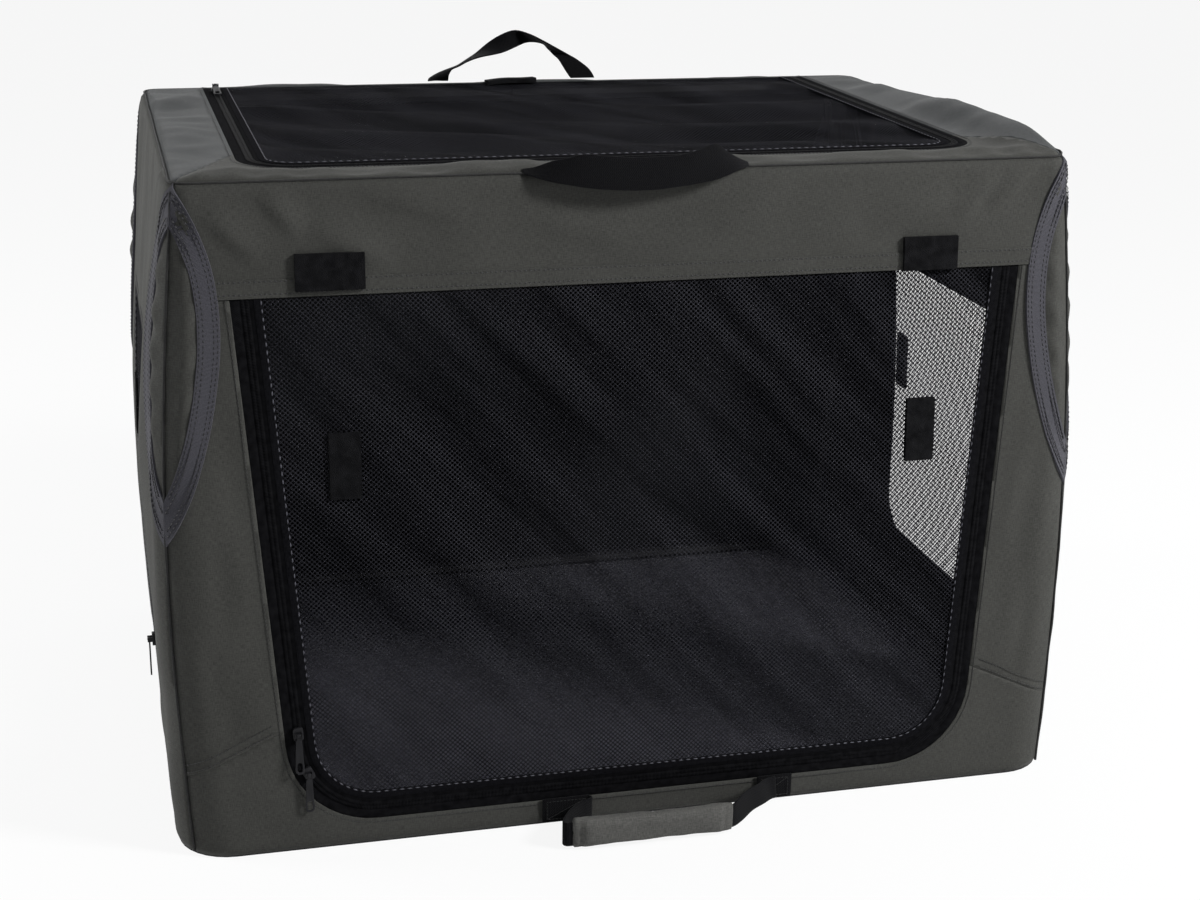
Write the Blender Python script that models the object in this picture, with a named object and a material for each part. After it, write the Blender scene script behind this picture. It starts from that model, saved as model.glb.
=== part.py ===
"""Folding pet crate: fabric cabin with four zipped mesh doors on a folding frame of steel tube.

Metres, +Z up. The crate stands on the floor at z = 0, with the origin under its middle. The front is -Y.
"""

import math

import bmesh
import bpy
from mathutils import Matrix, Vector

# Fabric cabin, outside
HEIGHT = 0.595
BASE_WIDTH = 0.836
BASE_DEPTH = 0.630
ROOF_WIDTH = 0.796
ROOF_DEPTH = 0.560
END_BULGE = 0.015
BASE_CORNER_RADIUS = 0.050
ROOF_CORNER_RADIUS = 0.018
FABRIC = 0.002
SKIN_LEVELS = 8
CORNER_STEPS = 4

# Clearances
TOUCH = 0.0003
FABRIC_TO_TUBE = 0.001
RIVET_CLEARANCE = 0.0003

# Openings and their zips
ZIP_WIDTH = 0.024
FRONT_DOOR_TOP = 0.498
FRONT_DOOR_BOTTOM = 0.024
FRONT_DOOR_HALF_TOP = 0.352
FRONT_DOOR_HALF_BOTTOM = 0.316
FRONT_DOOR_RADIUS = 0.080
LOWER_SEAM_INNER = (0.308, 0.122)
LOWER_SEAM_OUTER = (0.412, 0.074)
END_DOOR_TOP = 0.405
END_DOOR_BOTTOM = 0.068
END_DOOR_HALF_TOP = 0.178
END_DOOR_HALF_BOTTOM = 0.170
END_DOOR_RADIUS = 0.070
ROOF_DOOR_HALF = 0.335
ROOF_DOOR_FRONT = -0.235
ROOF_DOOR_BACK = 0.262
ROOF_DOOR_RADIUS = 0.050

# Frame of steel tube
TUBE_RADIUS = 0.008
TUBE_WALL = 0.0012
TUBE_JOINT_GAP = 0.002
BASE_LOOP_HEIGHT = 0.012
ROOF_LOOP_DROP = 0.014
ROOF_LOOP_RADIUS = 0.020

# Folding posts
PIVOT_SETBACK = 0.020
POST_SETBACK = 0.018
PIVOT_INSET = 0.045
LEAN = math.radians(4.5)
KNEE_OFFSET = 0.011
RIVET_RADIUS = 0.003
POST_STUB = 0.012
SLEEVE_WALL = 0.0022
SLEEVE_LENGTH = 0.032
SLEEVE_TO_KNEE = 0.018
KNEE_EYE_RADIUS = 0.0075
TONGUE_HALF = 0.004
KNEE_EAR = 0.005
BRACKET_EYE_RADIUS = 0.009
BRACKET_EAR_GAP = 0.001
BRACKET_EAR = 0.004
BRACKET_PLATE = 0.008
BRACKET_HALF_WIDTH = 0.012

# Floor
FLOOR_FABRIC = 0.0035
MAT_THICKNESS = 0.015
MAT_EDGE_GAP = 0.006
MAT_CORNER_RADIUS = 0.030

# Zip sliders and pull tabs
SLIDER_LENGTH = 0.012
SLIDER_WIDTH = 0.009
SLIDER_HEIGHT = 0.0035
SLIDER_CORNER = 0.0025
SLIDER_LUG_INSIDE = 0.0022
SLIDER_LUG = 0.0010
SLIDER_LUG_HALF_LENGTH = 0.0022
SLIDER_BAR_RADIUS = 0.0009
SLIDER_BAR_LIFT = 0.0062
TAB_LENGTH = 0.036
TAB_SHOULDER_WIDTH = 0.0054
TAB_END_WIDTH = 0.0084
TAB_THICKNESS = 0.0014
TAB_NECK = 0.0045
TAB_EYE_HALF = 0.0018
TAB_EYE_RADIUS = 0.0020
TAB_EYE_BORE = 0.0013
TAB_RING_LENGTH = 0.0090
TAB_RING_WIDTH = 0.0046
UPPER_SLIDER_HEIGHT = 0.112
UPPER_TAB_TILT = math.radians(5)
LOWER_SLIDER_ANGLE = math.radians(26)
END_SLIDER_HEIGHT = 0.150
END_RUN_RADIUS = 2.8
ROOF_SLIDER_Y = 0.235
ROOF_TAB_DROOP = math.radians(7)

# Handles
ROOF_WEBBING = 0.028
CARRY_WEBBING = 0.024
WEBBING_THICKNESS = 0.002
FRONT_HANDLE_HALF = 0.099
FRONT_HANDLE_REACH = 0.018
FRONT_HANDLE_END_WIDTH = 0.010
FRONT_HANDLE_STEPS = 16
BACK_HANDLE_HALF = 0.080
BACK_HANDLE_RISE = 0.049
BACK_HANDLE_FOOT_WIDTH = 0.015
BACK_HANDLE_TILT = 0.008
CARRY_LIFT = 0.0030
CARRY_LEFT_END = (-0.093, -0.049)
CARRY_RIGHT_END = (0.112, 0.146)
CARRY_END_GAP = 0.002
GRIP_LEFT = -0.080
GRIP_RIGHT = 0.073
GRIP_HEIGHT = 0.028
GRIP_THICKNESS = 0.016
GRIP_CORNER = 0.006
GRIP_REACH = 0.049

# Worked-out places
PIVOT_X = min(ROOF_WIDTH, BASE_WIDTH) / 2 - PIVOT_SETBACK
POST_Y = min(ROOF_DEPTH, BASE_DEPTH) / 2 - POST_SETBACK
WALL_BOTTOM = 0.001
WALL_TOP = HEIGHT - FABRIC - TOUCH
SEAM_SPLIT = (BASE_WIDTH - BASE_DEPTH + ROOF_WIDTH - ROOF_DEPTH) / 4
LOWER_PIVOT_Z = PIVOT_INSET
UPPER_PIVOT_Z = HEIGHT - PIVOT_INSET
LINK = ((UPPER_PIVOT_Z - LOWER_PIVOT_Z) / 2 + KNEE_OFFSET * math.sin(LEAN)) / math.cos(LEAN)
KNEE_X = PIVOT_X + LINK * math.sin(LEAN) + KNEE_OFFSET * math.cos(LEAN)
KNEE_Z = (LOWER_PIVOT_Z + UPPER_PIVOT_Z) / 2
TUBE_INSET = FABRIC + FABRIC_TO_TUBE + TUBE_RADIUS
ROOF_LOOP_HEIGHT = HEIGHT - ROOF_LOOP_DROP
WALL_LEAN = math.atan2((BASE_DEPTH - ROOF_DEPTH) / 2, HEIGHT)
FRONT_DOOR = (
    FRONT_DOOR_HALF_TOP,
    FRONT_DOOR_HALF_BOTTOM,
    FRONT_DOOR_TOP,
    FRONT_DOOR_BOTTOM,
    FRONT_DOOR_RADIUS,
)
END_DOOR = (END_DOOR_HALF_TOP, END_DOOR_HALF_BOTTOM, END_DOOR_TOP, END_DOOR_BOTTOM, END_DOOR_RADIUS)
FAR = 0.8

SIDES = {"left": -1, "right": 1}
ENDS = {"front": -1, "back": 1}


def half_width(z):
    """Half of the cabin's outside width at height z: it tapers, and the knees bow the ends outwards."""
    share = z / HEIGHT
    taper = BASE_WIDTH / 2 + (ROOF_WIDTH - BASE_WIDTH) / 2 * share
    return taper + END_BULGE * math.sin(math.pi * share)


def half_depth(z):
    """Half of the cabin's outside depth at height z: the front and back walls are flat and lean in."""
    return BASE_DEPTH / 2 + (ROOF_DEPTH - BASE_DEPTH) / 2 * z / HEIGHT


def corner_radius(z):
    """Plan radius of the cabin's upright corners at height z."""
    return BASE_CORNER_RADIUS + (ROOF_CORNER_RADIUS - BASE_CORNER_RADIUS) * z / HEIGHT


def clear_scene():
    for old in list(bpy.data.objects):
        bpy.data.objects.remove(old)


def material(name, colour, roughness, metallic=0.0):
    """A Principled material in the piece's own colour."""
    made = bpy.data.materials.new(name)
    made.use_nodes = True
    shader = made.node_tree.nodes["Principled BSDF"]
    shader.inputs["Base Color"].default_value = (*colour, 1.0)
    shader.inputs["Roughness"].default_value = roughness
    shader.inputs["Metallic"].default_value = metallic
    return made


def new_object(name, mesh, finish=None):
    made = bpy.data.objects.new(name, mesh)
    bpy.context.scene.collection.objects.link(made)
    if finish:
        mesh.materials.append(finish)
    else:
        made.hide_render = True
        made.display_type = "WIRE"
    return made


def finish_mesh(name, bm, finish=None):
    """The bmesh as an object, with its faces out, and shaded smooth up to 35 degrees."""
    bmesh.ops.remove_doubles(bm, verts=bm.verts, dist=1e-6)
    bmesh.ops.recalc_face_normals(bm, faces=bm.faces)
    mesh = bpy.data.meshes.new(name)
    bm.to_mesh(mesh)
    bm.free()
    mesh.shade_smooth()
    mesh.set_sharp_from_angle(angle=math.radians(35))
    return new_object(name, mesh, finish)


def boolean(piece, other, operation):
    step = piece.modifiers.new(f"{operation.lower()} {other.name}", "BOOLEAN")
    step.object = other
    step.operation = operation
    step.solver = "EXACT"


def pivot(name, place):
    """An empty on a joint's axis, which the joint's pieces hang from."""
    made = bpy.data.objects.new(name, None)
    made.location = place
    made.empty_display_size = 0.02
    bpy.context.scene.collection.objects.link(made)
    return made


def hang(piece, on):
    """Parents a piece that is modelled in world coordinates to an empty, without moving it."""
    piece.parent = on
    piece.location = -on.location


def rounded(corners, steps=6):
    """The outline of a polygon of (u, v, radius) corners, with its corners rounded."""
    outline = []
    for i, (u, v, radius) in enumerate(corners):
        here = Vector((u, v))
        back = (Vector(corners[i - 1][:2]) - here).normalized()
        ahead = (Vector(corners[(i + 1) % len(corners)][:2]) - here).normalized()
        if radius <= 0:
            outline.append(here)
            continue
        half = back.angle(ahead) / 2
        centre = here + (back + ahead).normalized() * radius / math.sin(half)
        start = here + back * radius / math.tan(half) - centre
        end = here + ahead * radius / math.tan(half) - centre
        first = math.atan2(start.y, start.x)
        sweep = (math.atan2(end.y, end.x) - first + math.pi) % (2 * math.pi) - math.pi
        for step in range(steps + 1):
            angle = first + sweep * step / steps
            outline.append(centre + radius * Vector((math.cos(angle), math.sin(angle))))
    return outline


def rounded_rectangle(half_u, half_v, radius, steps=6):
    corners = [(half_u, half_v), (-half_u, half_v), (-half_u, -half_v), (half_u, -half_v)]
    return rounded([(u, v, radius) for u, v in corners], steps)


def prism(name, outline, place, low, high, finish=None):
    """An outline of (u, v) pairs extruded from low to high. place turns u, v and the height into a point."""
    bm = bmesh.new()
    face = bm.faces.new([bm.verts.new(place(u, v, low)) for u, v in outline])
    risen = bmesh.ops.extrude_face_region(bm, geom=[face])
    lift = Vector(place(0, 0, high)) - Vector(place(0, 0, low))
    bmesh.ops.translate(bm, verts=[v for v in risen["geom"] if isinstance(v, bmesh.types.BMVert)], vec=lift)
    return finish_mesh(name, bm, finish)


def upright(u, v, height):
    return (u, v, height)


def through_front(u, v, height):
    return (u, height, v)


def through_end(u, v, height):
    return (height, u, v)


def block(name, low, high, finish=None):
    outline = [(low[0], low[1]), (high[0], low[1]), (high[0], high[1]), (low[0], high[1])]
    return prism(name, outline, upright, low[2], high[2], finish)


def rod(name, start, end, radius, finish=None, sides=12):
    """A solid round bar between two points."""
    start, end = Vector(start), Vector(end)
    bm = bmesh.new()
    turn = (end - start).to_track_quat("Z", "Y").to_matrix().to_4x4()
    bmesh.ops.create_cone(
        bm,
        cap_ends=True,
        segments=sides,
        radius1=radius,
        radius2=radius,
        depth=(end - start).length,
        matrix=Matrix.Translation((start + end) / 2) @ turn,
    )
    return finish_mesh(name, bm, finish)


def skin(name, inset):
    """The cabin's outside form, moved in by inset: a loft of rounded rectangles."""
    bm = bmesh.new()
    low, high = WALL_BOTTOM - FAR * (inset > 0), WALL_TOP + FAR * (inset > 0)
    levels = [WALL_BOTTOM + (WALL_TOP - WALL_BOTTOM) * i / SKIN_LEVELS for i in range(SKIN_LEVELS + 1)]
    rings = []
    for z in levels:
        outline = rounded_rectangle(
            half_width(z) - inset, half_depth(z) - inset, corner_radius(z) - inset, CORNER_STEPS
        )
        if z == levels[0]:
            rings.append([bm.verts.new((x, y, low)) for x, y in outline])
        rings.append([bm.verts.new((x, y, z)) for x, y in outline])
        if z == levels[-1]:
            rings.append([bm.verts.new((x, y, high)) for x, y in outline])
    if inset <= 0:
        rings = rings[1:-1]
    for lower, upper in zip(rings, rings[1:]):
        for i in range(len(lower)):
            bm.faces.new([lower[i - 1], lower[i], upper[i], upper[i - 1]])
    bm.faces.new(rings[0])
    bm.faces.new(rings[-1])
    loose = [v for v in bm.verts if not v.link_faces]
    bmesh.ops.delete(bm, geom=loose, context="VERTS")
    return finish_mesh(name, bm)


def door_side(size, grow, z):
    """Half the width of a door moved out by grow, at height z of its slanting sides."""
    half_top, half_bottom, hem, bottom, _ = size
    slope = (half_top - half_bottom) / (hem - bottom)
    return half_bottom + grow * math.hypot(1, slope) + slope * (z - bottom)


def door_outline(size, grow, top):
    """A door moved out by grow at its sides and bottom. Its lower corners are round and its sides reach top."""
    bottom = size[3] - grow
    radius = size[4] + grow
    high = door_side(size, grow, top)
    low = door_side(size, grow, bottom)
    return rounded([(high, top, 0), (-high, top, 0), (-low, bottom, radius), (low, bottom, radius)])


def front_outline(grow, top=FRONT_DOOR_TOP):
    return door_outline(FRONT_DOOR, grow, top)


def end_outline(grow, top=END_DOOR_TOP):
    return door_outline(END_DOOR, grow, top)


def roof_outline(grow, back=ROOF_DOOR_BACK):
    half, front = ROOF_DOOR_HALF + grow, ROOF_DOOR_FRONT - grow
    radius = ROOF_DOOR_RADIUS + grow
    return rounded([(half, back, 0), (-half, back, 0), (-half, front, radius), (half, front, radius)])


def front_skin_y(z):
    return -half_depth(z)


def sweep_strap(name, stations, finish):
    """A flat strap through stations of (point, across, out), which are half its width and thickness."""
    bm = bmesh.new()
    loops = []
    for point, across, out in stations:
        ends = [across + out, -across + out, -across - out, across - out]
        loops.append([bm.verts.new(point + end) for end in ends])
    for first, second in zip(loops, loops[1:]):
        for i in range(4):
            bm.faces.new([first[i - 1], first[i], second[i], second[i - 1]])
    bm.faces.new(loops[0])
    bm.faces.new(loops[-1])
    return finish_mesh(name, bm, finish)


def smooth_path(points, per_span):
    """A smooth curve through the points, as points along it."""
    points = [Vector(p) for p in points]
    padded = [2 * points[0] - points[1], *points, 2 * points[-1] - points[-2]]
    path = []
    for i in range(1, len(padded) - 2):
        a, b, c, d = padded[i - 1 : i + 3]
        for step in range(per_span):
            t = step / per_span
            linear = (c - a) * t
            square = (2 * a - 5 * b + 4 * c - d) * t**2
            cube = (3 * b - a - 3 * c + d) * t**3
            path.append((2 * b + linear + square + cube) / 2)
    path.append(points[-1])
    return path


def strap_along(name, path, across, width, finish):
    """A strap of one width that follows a path, with its width along a fixed direction."""
    across = Vector(across).normalized()
    stations = []
    for i, point in enumerate(path):
        ahead = path[min(i + 1, len(path) - 1)] - path[max(i - 1, 0)]
        out = ahead.cross(across).normalized()
        stations.append((point, across * width / 2, out * WEBBING_THICKNESS / 2))
    return sweep_strap(name, stations, finish)


clear_scene()

# Materials, from the photograph's own colours
steel = material("black_steel", (0.020, 0.020, 0.022), 0.40, 0.6)
plastic = material("black_plastic", (0.018, 0.018, 0.020), 0.50)
front_cloth = material("grey_polyester", (0.070, 0.070, 0.062), 0.85)
roof_cloth = material("roof_polyester", (0.115, 0.130, 0.133), 0.75)
net = material("black_net", (0.010, 0.010, 0.013), 0.80)
zip_tape = material("zip_tape", (0.009, 0.009, 0.011), 0.60)
zip_metal = material("zip_metal", (0.030, 0.030, 0.032), 0.35, 0.9)
webbing = material("webbing", (0.008, 0.008, 0.010), 0.80)
grip_cloth = material("grip_polyester", (0.120, 0.120, 0.113), 0.85)
floor_cloth = material("floor_polyester", (0.020, 0.020, 0.022), 0.90)
mat_fleece = material("mat_fleece", (0.018, 0.018, 0.030), 0.95)

# Forms that the wall panels are cut from
outer_skin = skin("outer_skin", 0.0)
inner_skin = skin("inner_skin", FABRIC)


def sector(name, side):
    """The part of the plan that belongs to one wall, bounded by the slanting corner seams."""
    near, reach = 0.15, FAR
    if side in ENDS:
        sign = ENDS[side]
        inner, outer = SEAM_SPLIT + near - TOUCH, SEAM_SPLIT + reach - TOUCH
        near_y, far_y = sign * near, sign * reach
        outline = [(-inner, near_y), (-outer, far_y), (outer, far_y), (inner, near_y)]
    else:
        sign = SIDES[side]
        near_x, far_x = sign * (SEAM_SPLIT + near), sign * (SEAM_SPLIT + reach)
        inner, outer = near - TOUCH, reach - TOUCH
        outline = [(near_x, -inner), (far_x, -outer), (far_x, outer), (near_x, inner)]
    return prism(name, outline, upright, -FAR, FAR * 2)


sectors = {side: sector(f"{side}_sector", side) for side in ("front", "back", "left", "right")}


def wall_panel(name, side, outline, finish, opening=None):
    """A piece of the fabric skin on one side, inside an outline seen square on, less an opening."""
    if side in ENDS:
        sign, place = ENDS[side], through_front
    else:
        sign, place = SIDES[side], through_end
    low, high = sorted((sign * 0.15, sign * FAR))
    panel = prism(name, outline, place, low, high, finish)
    boolean(panel, sectors[side], "INTERSECT")
    boolean(panel, outer_skin, "INTERSECT")
    boolean(panel, inner_skin, "DIFFERENCE")
    if opening:
        boolean(panel, opening, "DIFFERENCE")
    return panel


def rectangle(half, low, high):
    return [(-half, low), (half, low), (half, high), (-half, high)]


# Front wall: band, side panels and lower panel, round the front door
front_hole = prism("front_hole", front_outline(TOUCH, FAR), through_front, -FAR, 0)
front_zip_hole = prism("front_zip_hole", front_outline(-ZIP_WIDTH, FAR), through_front, -FAR, 0)
front_hem = FRONT_DOOR_TOP + TOUCH
wall_panel("front_band", "front", rectangle(FAR, front_hem, FAR), front_cloth)

seam_rise = (LOWER_SEAM_INNER[1] - LOWER_SEAM_OUTER[1]) / (LOWER_SEAM_OUTER[0] - LOWER_SEAM_INNER[0])
seam_far = LOWER_SEAM_OUTER[1] - seam_rise * (FAR - LOWER_SEAM_OUTER[0])
for side, sign in SIDES.items():
    slanted = [
        (sign * FAR, FRONT_DOOR_TOP - TOUCH),
        (sign * LOWER_SEAM_INNER[0], FRONT_DOOR_TOP - TOUCH),
        (sign * LOWER_SEAM_INNER[0], LOWER_SEAM_INNER[1] + TOUCH),
        (sign * FAR, seam_far + TOUCH),
    ]
    wall_panel(f"front_{side}_panel", "front", slanted, front_cloth, front_hole)
low_outline = [
    (-FAR, -FAR),
    (FAR, -FAR),
    (FAR, seam_far - TOUCH),
    (LOWER_SEAM_INNER[0], LOWER_SEAM_INNER[1] - TOUCH),
    (-LOWER_SEAM_INNER[0], LOWER_SEAM_INNER[1] - TOUCH),
    (-FAR, seam_far - TOUCH),
]
wall_panel("front_lower_panel", "front", low_outline, front_cloth, front_hole)
wall_panel("back_wall", "back", rectangle(FAR, -FAR, FAR), front_cloth)
wall_panel("front_zip", "front", front_outline(0), zip_tape, front_zip_hole)

# End walls and their zips
end_hole = prism("end_hole", end_outline(TOUCH), through_end, -FAR, FAR)
end_zip_hole = prism("end_zip_hole", end_outline(-ZIP_WIDTH, FAR), through_end, -FAR, FAR)
for side in SIDES:
    wall_panel(f"{side}_end_wall", side, rectangle(FAR, -FAR, FAR), front_cloth, end_hole)
    wall_panel(f"{side}_zip", side, end_outline(0, END_DOOR_TOP - TOUCH), zip_tape, end_zip_hole)

# Mesh doors of the walls, each on an empty on its hinge line under the hem
front_hinge = pivot("front_door_hinge", (0, front_skin_y(FRONT_DOOR_TOP), FRONT_DOOR_TOP))
front_net = front_outline(-ZIP_WIDTH - TOUCH, FRONT_DOOR_TOP - TOUCH)
front_door = wall_panel("front_door", "front", front_net, net)
hang(front_door, front_hinge)
for side, sign in SIDES.items():
    end_hinge = pivot(f"{side}_door_hinge", (sign * half_width(END_DOOR_TOP), 0, END_DOOR_TOP))
    end_net = end_outline(-ZIP_WIDTH - TOUCH, END_DOOR_TOP - 2 * TOUCH)
    end_door = wall_panel(f"{side}_door", side, end_net, net)
    hang(end_door, end_hinge)

# Roof: the fabric border, its zip and its mesh door
roof = pivot("roof_carrier", (0, 0, HEIGHT))
roof_hole = prism("roof_hole", roof_outline(TOUCH, ROOF_DOOR_BACK + TOUCH), upright, 0, FAR)
roof_zip_hole = prism("roof_zip_hole", roof_outline(-ZIP_WIDTH, FAR), upright, 0, FAR)
roof_edge = rounded_rectangle(half_width(HEIGHT), half_depth(HEIGHT), corner_radius(HEIGHT), CORNER_STEPS)
roof_panel = prism("roof_panel", roof_edge, upright, HEIGHT - FABRIC, HEIGHT, roof_cloth)
boolean(roof_panel, roof_hole, "DIFFERENCE")
hang(roof_panel, roof)
roof_zip = prism("roof_zip", roof_outline(0), upright, HEIGHT - FABRIC, HEIGHT, zip_tape)
boolean(roof_zip, roof_zip_hole, "DIFFERENCE")
hang(roof_zip, roof)
roof_hinge = pivot("roof_door_hinge", (0, ROOF_DOOR_BACK, HEIGHT))
roof_door = prism("roof_door", roof_outline(-ZIP_WIDTH - TOUCH), upright, HEIGHT - FABRIC, HEIGHT, net)
hang(roof_door, roof_hinge)

# Tube loops
def loop_curve(name, half_x, half_y, radius, z, thickness, capped):
    """A tube bent into a rounded rectangle, whose ends meet in the middle of the back rail."""
    outline = [tuple(p) for p in rounded_rectangle(half_x, half_y, radius)]
    corner = len(outline) // 4
    end = TUBE_JOINT_GAP / 2
    points = [(-end, half_y), *outline[corner:], *outline[:corner], (end, half_y)]
    curve = bpy.data.curves.new(name, "CURVE")
    curve.dimensions = "3D"
    spline = curve.splines.new("POLY")
    spline.points.add(len(points) - 1)
    for place, (x, y) in zip(spline.points, points):
        place.co = (x, y, z, 1)
    curve.bevel_depth = thickness
    curve.bevel_resolution = 2
    curve.use_fill_caps = capped
    return curve


def tube_loop(name, half_x, half_y, radius, z):
    """A hollow loop of tube, and the solid form that a bracket is cut by to fit it."""
    curve = loop_curve(name, half_x, half_y, radius, z, TUBE_RADIUS, False)
    tube = new_object(name, curve, steel)
    wall = tube.modifiers.new("wall", "SOLIDIFY")
    wall.thickness = TUBE_WALL
    wall.offset = -1
    fat = loop_curve(f"{name}_form", half_x, half_y, radius, z, TUBE_RADIUS + 2 * TOUCH, True)
    thick = new_object(f"{name}_form", fat)
    graph = bpy.context.evaluated_depsgraph_get()
    form = new_object(f"{name}_clearance", bpy.data.meshes.new_from_object(thick.evaluated_get(graph)))
    bpy.data.objects.remove(thick)
    return tube, form


def loop_halves(z):
    """Half the width and depth of a tube loop's centre line at height z, just inside the fabric."""
    low, high = z - TUBE_RADIUS, z + TUBE_RADIUS
    return min(half_width(low), half_width(high)) - TUBE_INSET, half_depth(high) - TUBE_INSET


base_loop_half = loop_halves(BASE_LOOP_HEIGHT)
roof_loop_half = loop_halves(ROOF_LOOP_HEIGHT)
base_loop_radius = BASE_CORNER_RADIUS - TUBE_INSET
base_tube, base_form = tube_loop("base_frame", *base_loop_half, base_loop_radius, BASE_LOOP_HEIGHT)
roof_tube, roof_form = tube_loop("roof_frame", *roof_loop_half, ROOF_LOOP_RADIUS, ROOF_LOOP_HEIGHT)
hang(roof_tube, roof)

# Floor panel and mat
floor_edge = rounded_rectangle(
    half_width(0) - FABRIC - 2 * TOUCH,
    half_depth(0) - FABRIC - 2 * TOUCH,
    corner_radius(0) - FABRIC - TOUCH,
    CORNER_STEPS,
)
prism("floor_panel", floor_edge, upright, 0, FLOOR_FABRIC, floor_cloth)
mat_inset = TUBE_RADIUS + MAT_EDGE_GAP
mat_outline = rounded_rectangle(
    base_loop_half[0] - mat_inset, base_loop_half[1] - mat_inset, MAT_CORNER_RADIUS
)
mat_bottom = FLOOR_FABRIC + 2 * TOUCH
mat_top = mat_bottom + MAT_THICKNESS
prism("floor_mat", mat_outline, upright, mat_bottom, mat_top, mat_fleece)


# Folding posts. In a link's own plane, s runs along its tube from its outer pivot to the knee, and n points out
# of the crate, towards the knee's pin.
def link_point(side, pivot_z, rising, s, n, y):
    """A point of a link in world coordinates. rising is 1 for a lower link and -1 for an upper one."""
    x = PIVOT_X + s * math.sin(LEAN) + n * math.cos(LEAN)
    z = pivot_z + rising * (s * math.cos(LEAN) - n * math.sin(LEAN))
    return Vector((SIDES[side] * x, y, z))


def plate(name, circles, point_of, low, high, sides=16):
    """The hull of circles (s, n, radius) in a link's plane, as a plate from low to high across it."""
    bm = bmesh.new()
    for s, n, radius in circles:
        for i in range(sides):
            angle = 2 * math.pi * i / sides
            for y in (low, high):
                bm.verts.new(point_of(s + radius * math.cos(angle), n + radius * math.sin(angle), y))
    hull = bmesh.ops.convex_hull(bm, input=bm.verts)
    unused = set(hull["geom_interior"]) | set(hull["geom_unused"])
    bmesh.ops.delete(bm, geom=[g for g in unused if isinstance(g, bmesh.types.BMVert)], context="VERTS")
    bmesh.ops.dissolve_limit(bm, angle_limit=1e-4, verts=bm.verts, edges=bm.edges)
    return finish_mesh(name, bm)


def union(name, first, others, finish):
    """One body of several forms: first gets the name and the finish, and the others stay hidden helpers."""
    first.name = name
    first.data.name = name
    first.data.materials.append(finish)
    first.hide_render = False
    first.display_type = "TEXTURED"
    for other in others:
        boolean(first, other, "UNION")
    return first


def post_tube(name, side, y, pivot_z, rising):
    """A hollow post tube, with the rivet's hole near its outer end."""
    start = link_point(side, pivot_z, rising, -POST_STUB, 0, y)
    end = link_point(side, pivot_z, rising, LINK - SLEEVE_TO_KNEE - SLEEVE_WALL - TOUCH, 0, y)
    tube = rod(name, start, end, TUBE_RADIUS, steel)
    bore = rod(
        f"{name}_bore",
        start + (start - end) * 0.1,
        end + (end - start) * 0.1,
        TUBE_RADIUS - TUBE_WALL,
    )
    boolean(tube, bore, "DIFFERENCE")
    pin = link_point(side, pivot_z, rising, 0, 0, y)
    across = Vector((0, 2 * TUBE_RADIUS, 0))
    hole = rod(f"{name}_hole", pin - across, pin + across, RIVET_RADIUS + RIVET_CLEARANCE)
    boolean(tube, hole, "DIFFERENCE")
    return tube


def knuckle(name, side, y, pivot_z, rising, forked):
    """The plastic end of a post tube at the knee: a sleeve, with two riveted ears if forked, or a tongue."""

    def at(s, n, across):
        return link_point(side, pivot_z, rising, s, n, y + across)

    sleeve_end = LINK - SLEEVE_TO_KNEE
    sleeve_start = sleeve_end - SLEEVE_LENGTH
    sleeve_radius = TUBE_RADIUS + SLEEVE_WALL
    sleeve = rod(f"{name}_sleeve", at(sleeve_start, 0, 0), at(sleeve_end, 0, 0), sleeve_radius, None, 16)
    socket = rod(
        f"{name}_socket",
        at(sleeve_start - SLEEVE_LENGTH, 0, 0),
        at(sleeve_end - SLEEVE_WALL, 0, 0),
        TUBE_RADIUS + TOUCH,
    )
    circles = [(LINK, KNEE_OFFSET, KNEE_EYE_RADIUS), (sleeve_end - TOUCH, 0, TUBE_RADIUS)]
    inner = TONGUE_HALF + TOUCH
    parts = []
    if forked:
        for word, sign in (("near", -1), ("far", 1)):
            low, high = sorted((sign * inner, sign * (inner + KNEE_EAR)))
            parts.append(plate(f"{name}_{word}_ear", circles, at, low, high))
        reach = inner + KNEE_EAR / 2
        parts.append(
            rod(f"{name}_rivet", at(LINK, KNEE_OFFSET, -reach), at(LINK, KNEE_OFFSET, reach), RIVET_RADIUS)
        )
    else:
        parts.append(plate(f"{name}_tongue", circles, at, -TONGUE_HALF, TONGUE_HALF))
    made = union(name, sleeve, parts, plastic)
    boolean(made, socket, "DIFFERENCE")
    if not forked:
        reach = 2 * TONGUE_HALF
        eye = rod(
            f"{name}_eye",
            at(LINK, KNEE_OFFSET, -reach),
            at(LINK, KNEE_OFFSET, reach),
            RIVET_RADIUS + RIVET_CLEARANCE,
        )
        boolean(made, eye, "DIFFERENCE")
    return made


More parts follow.
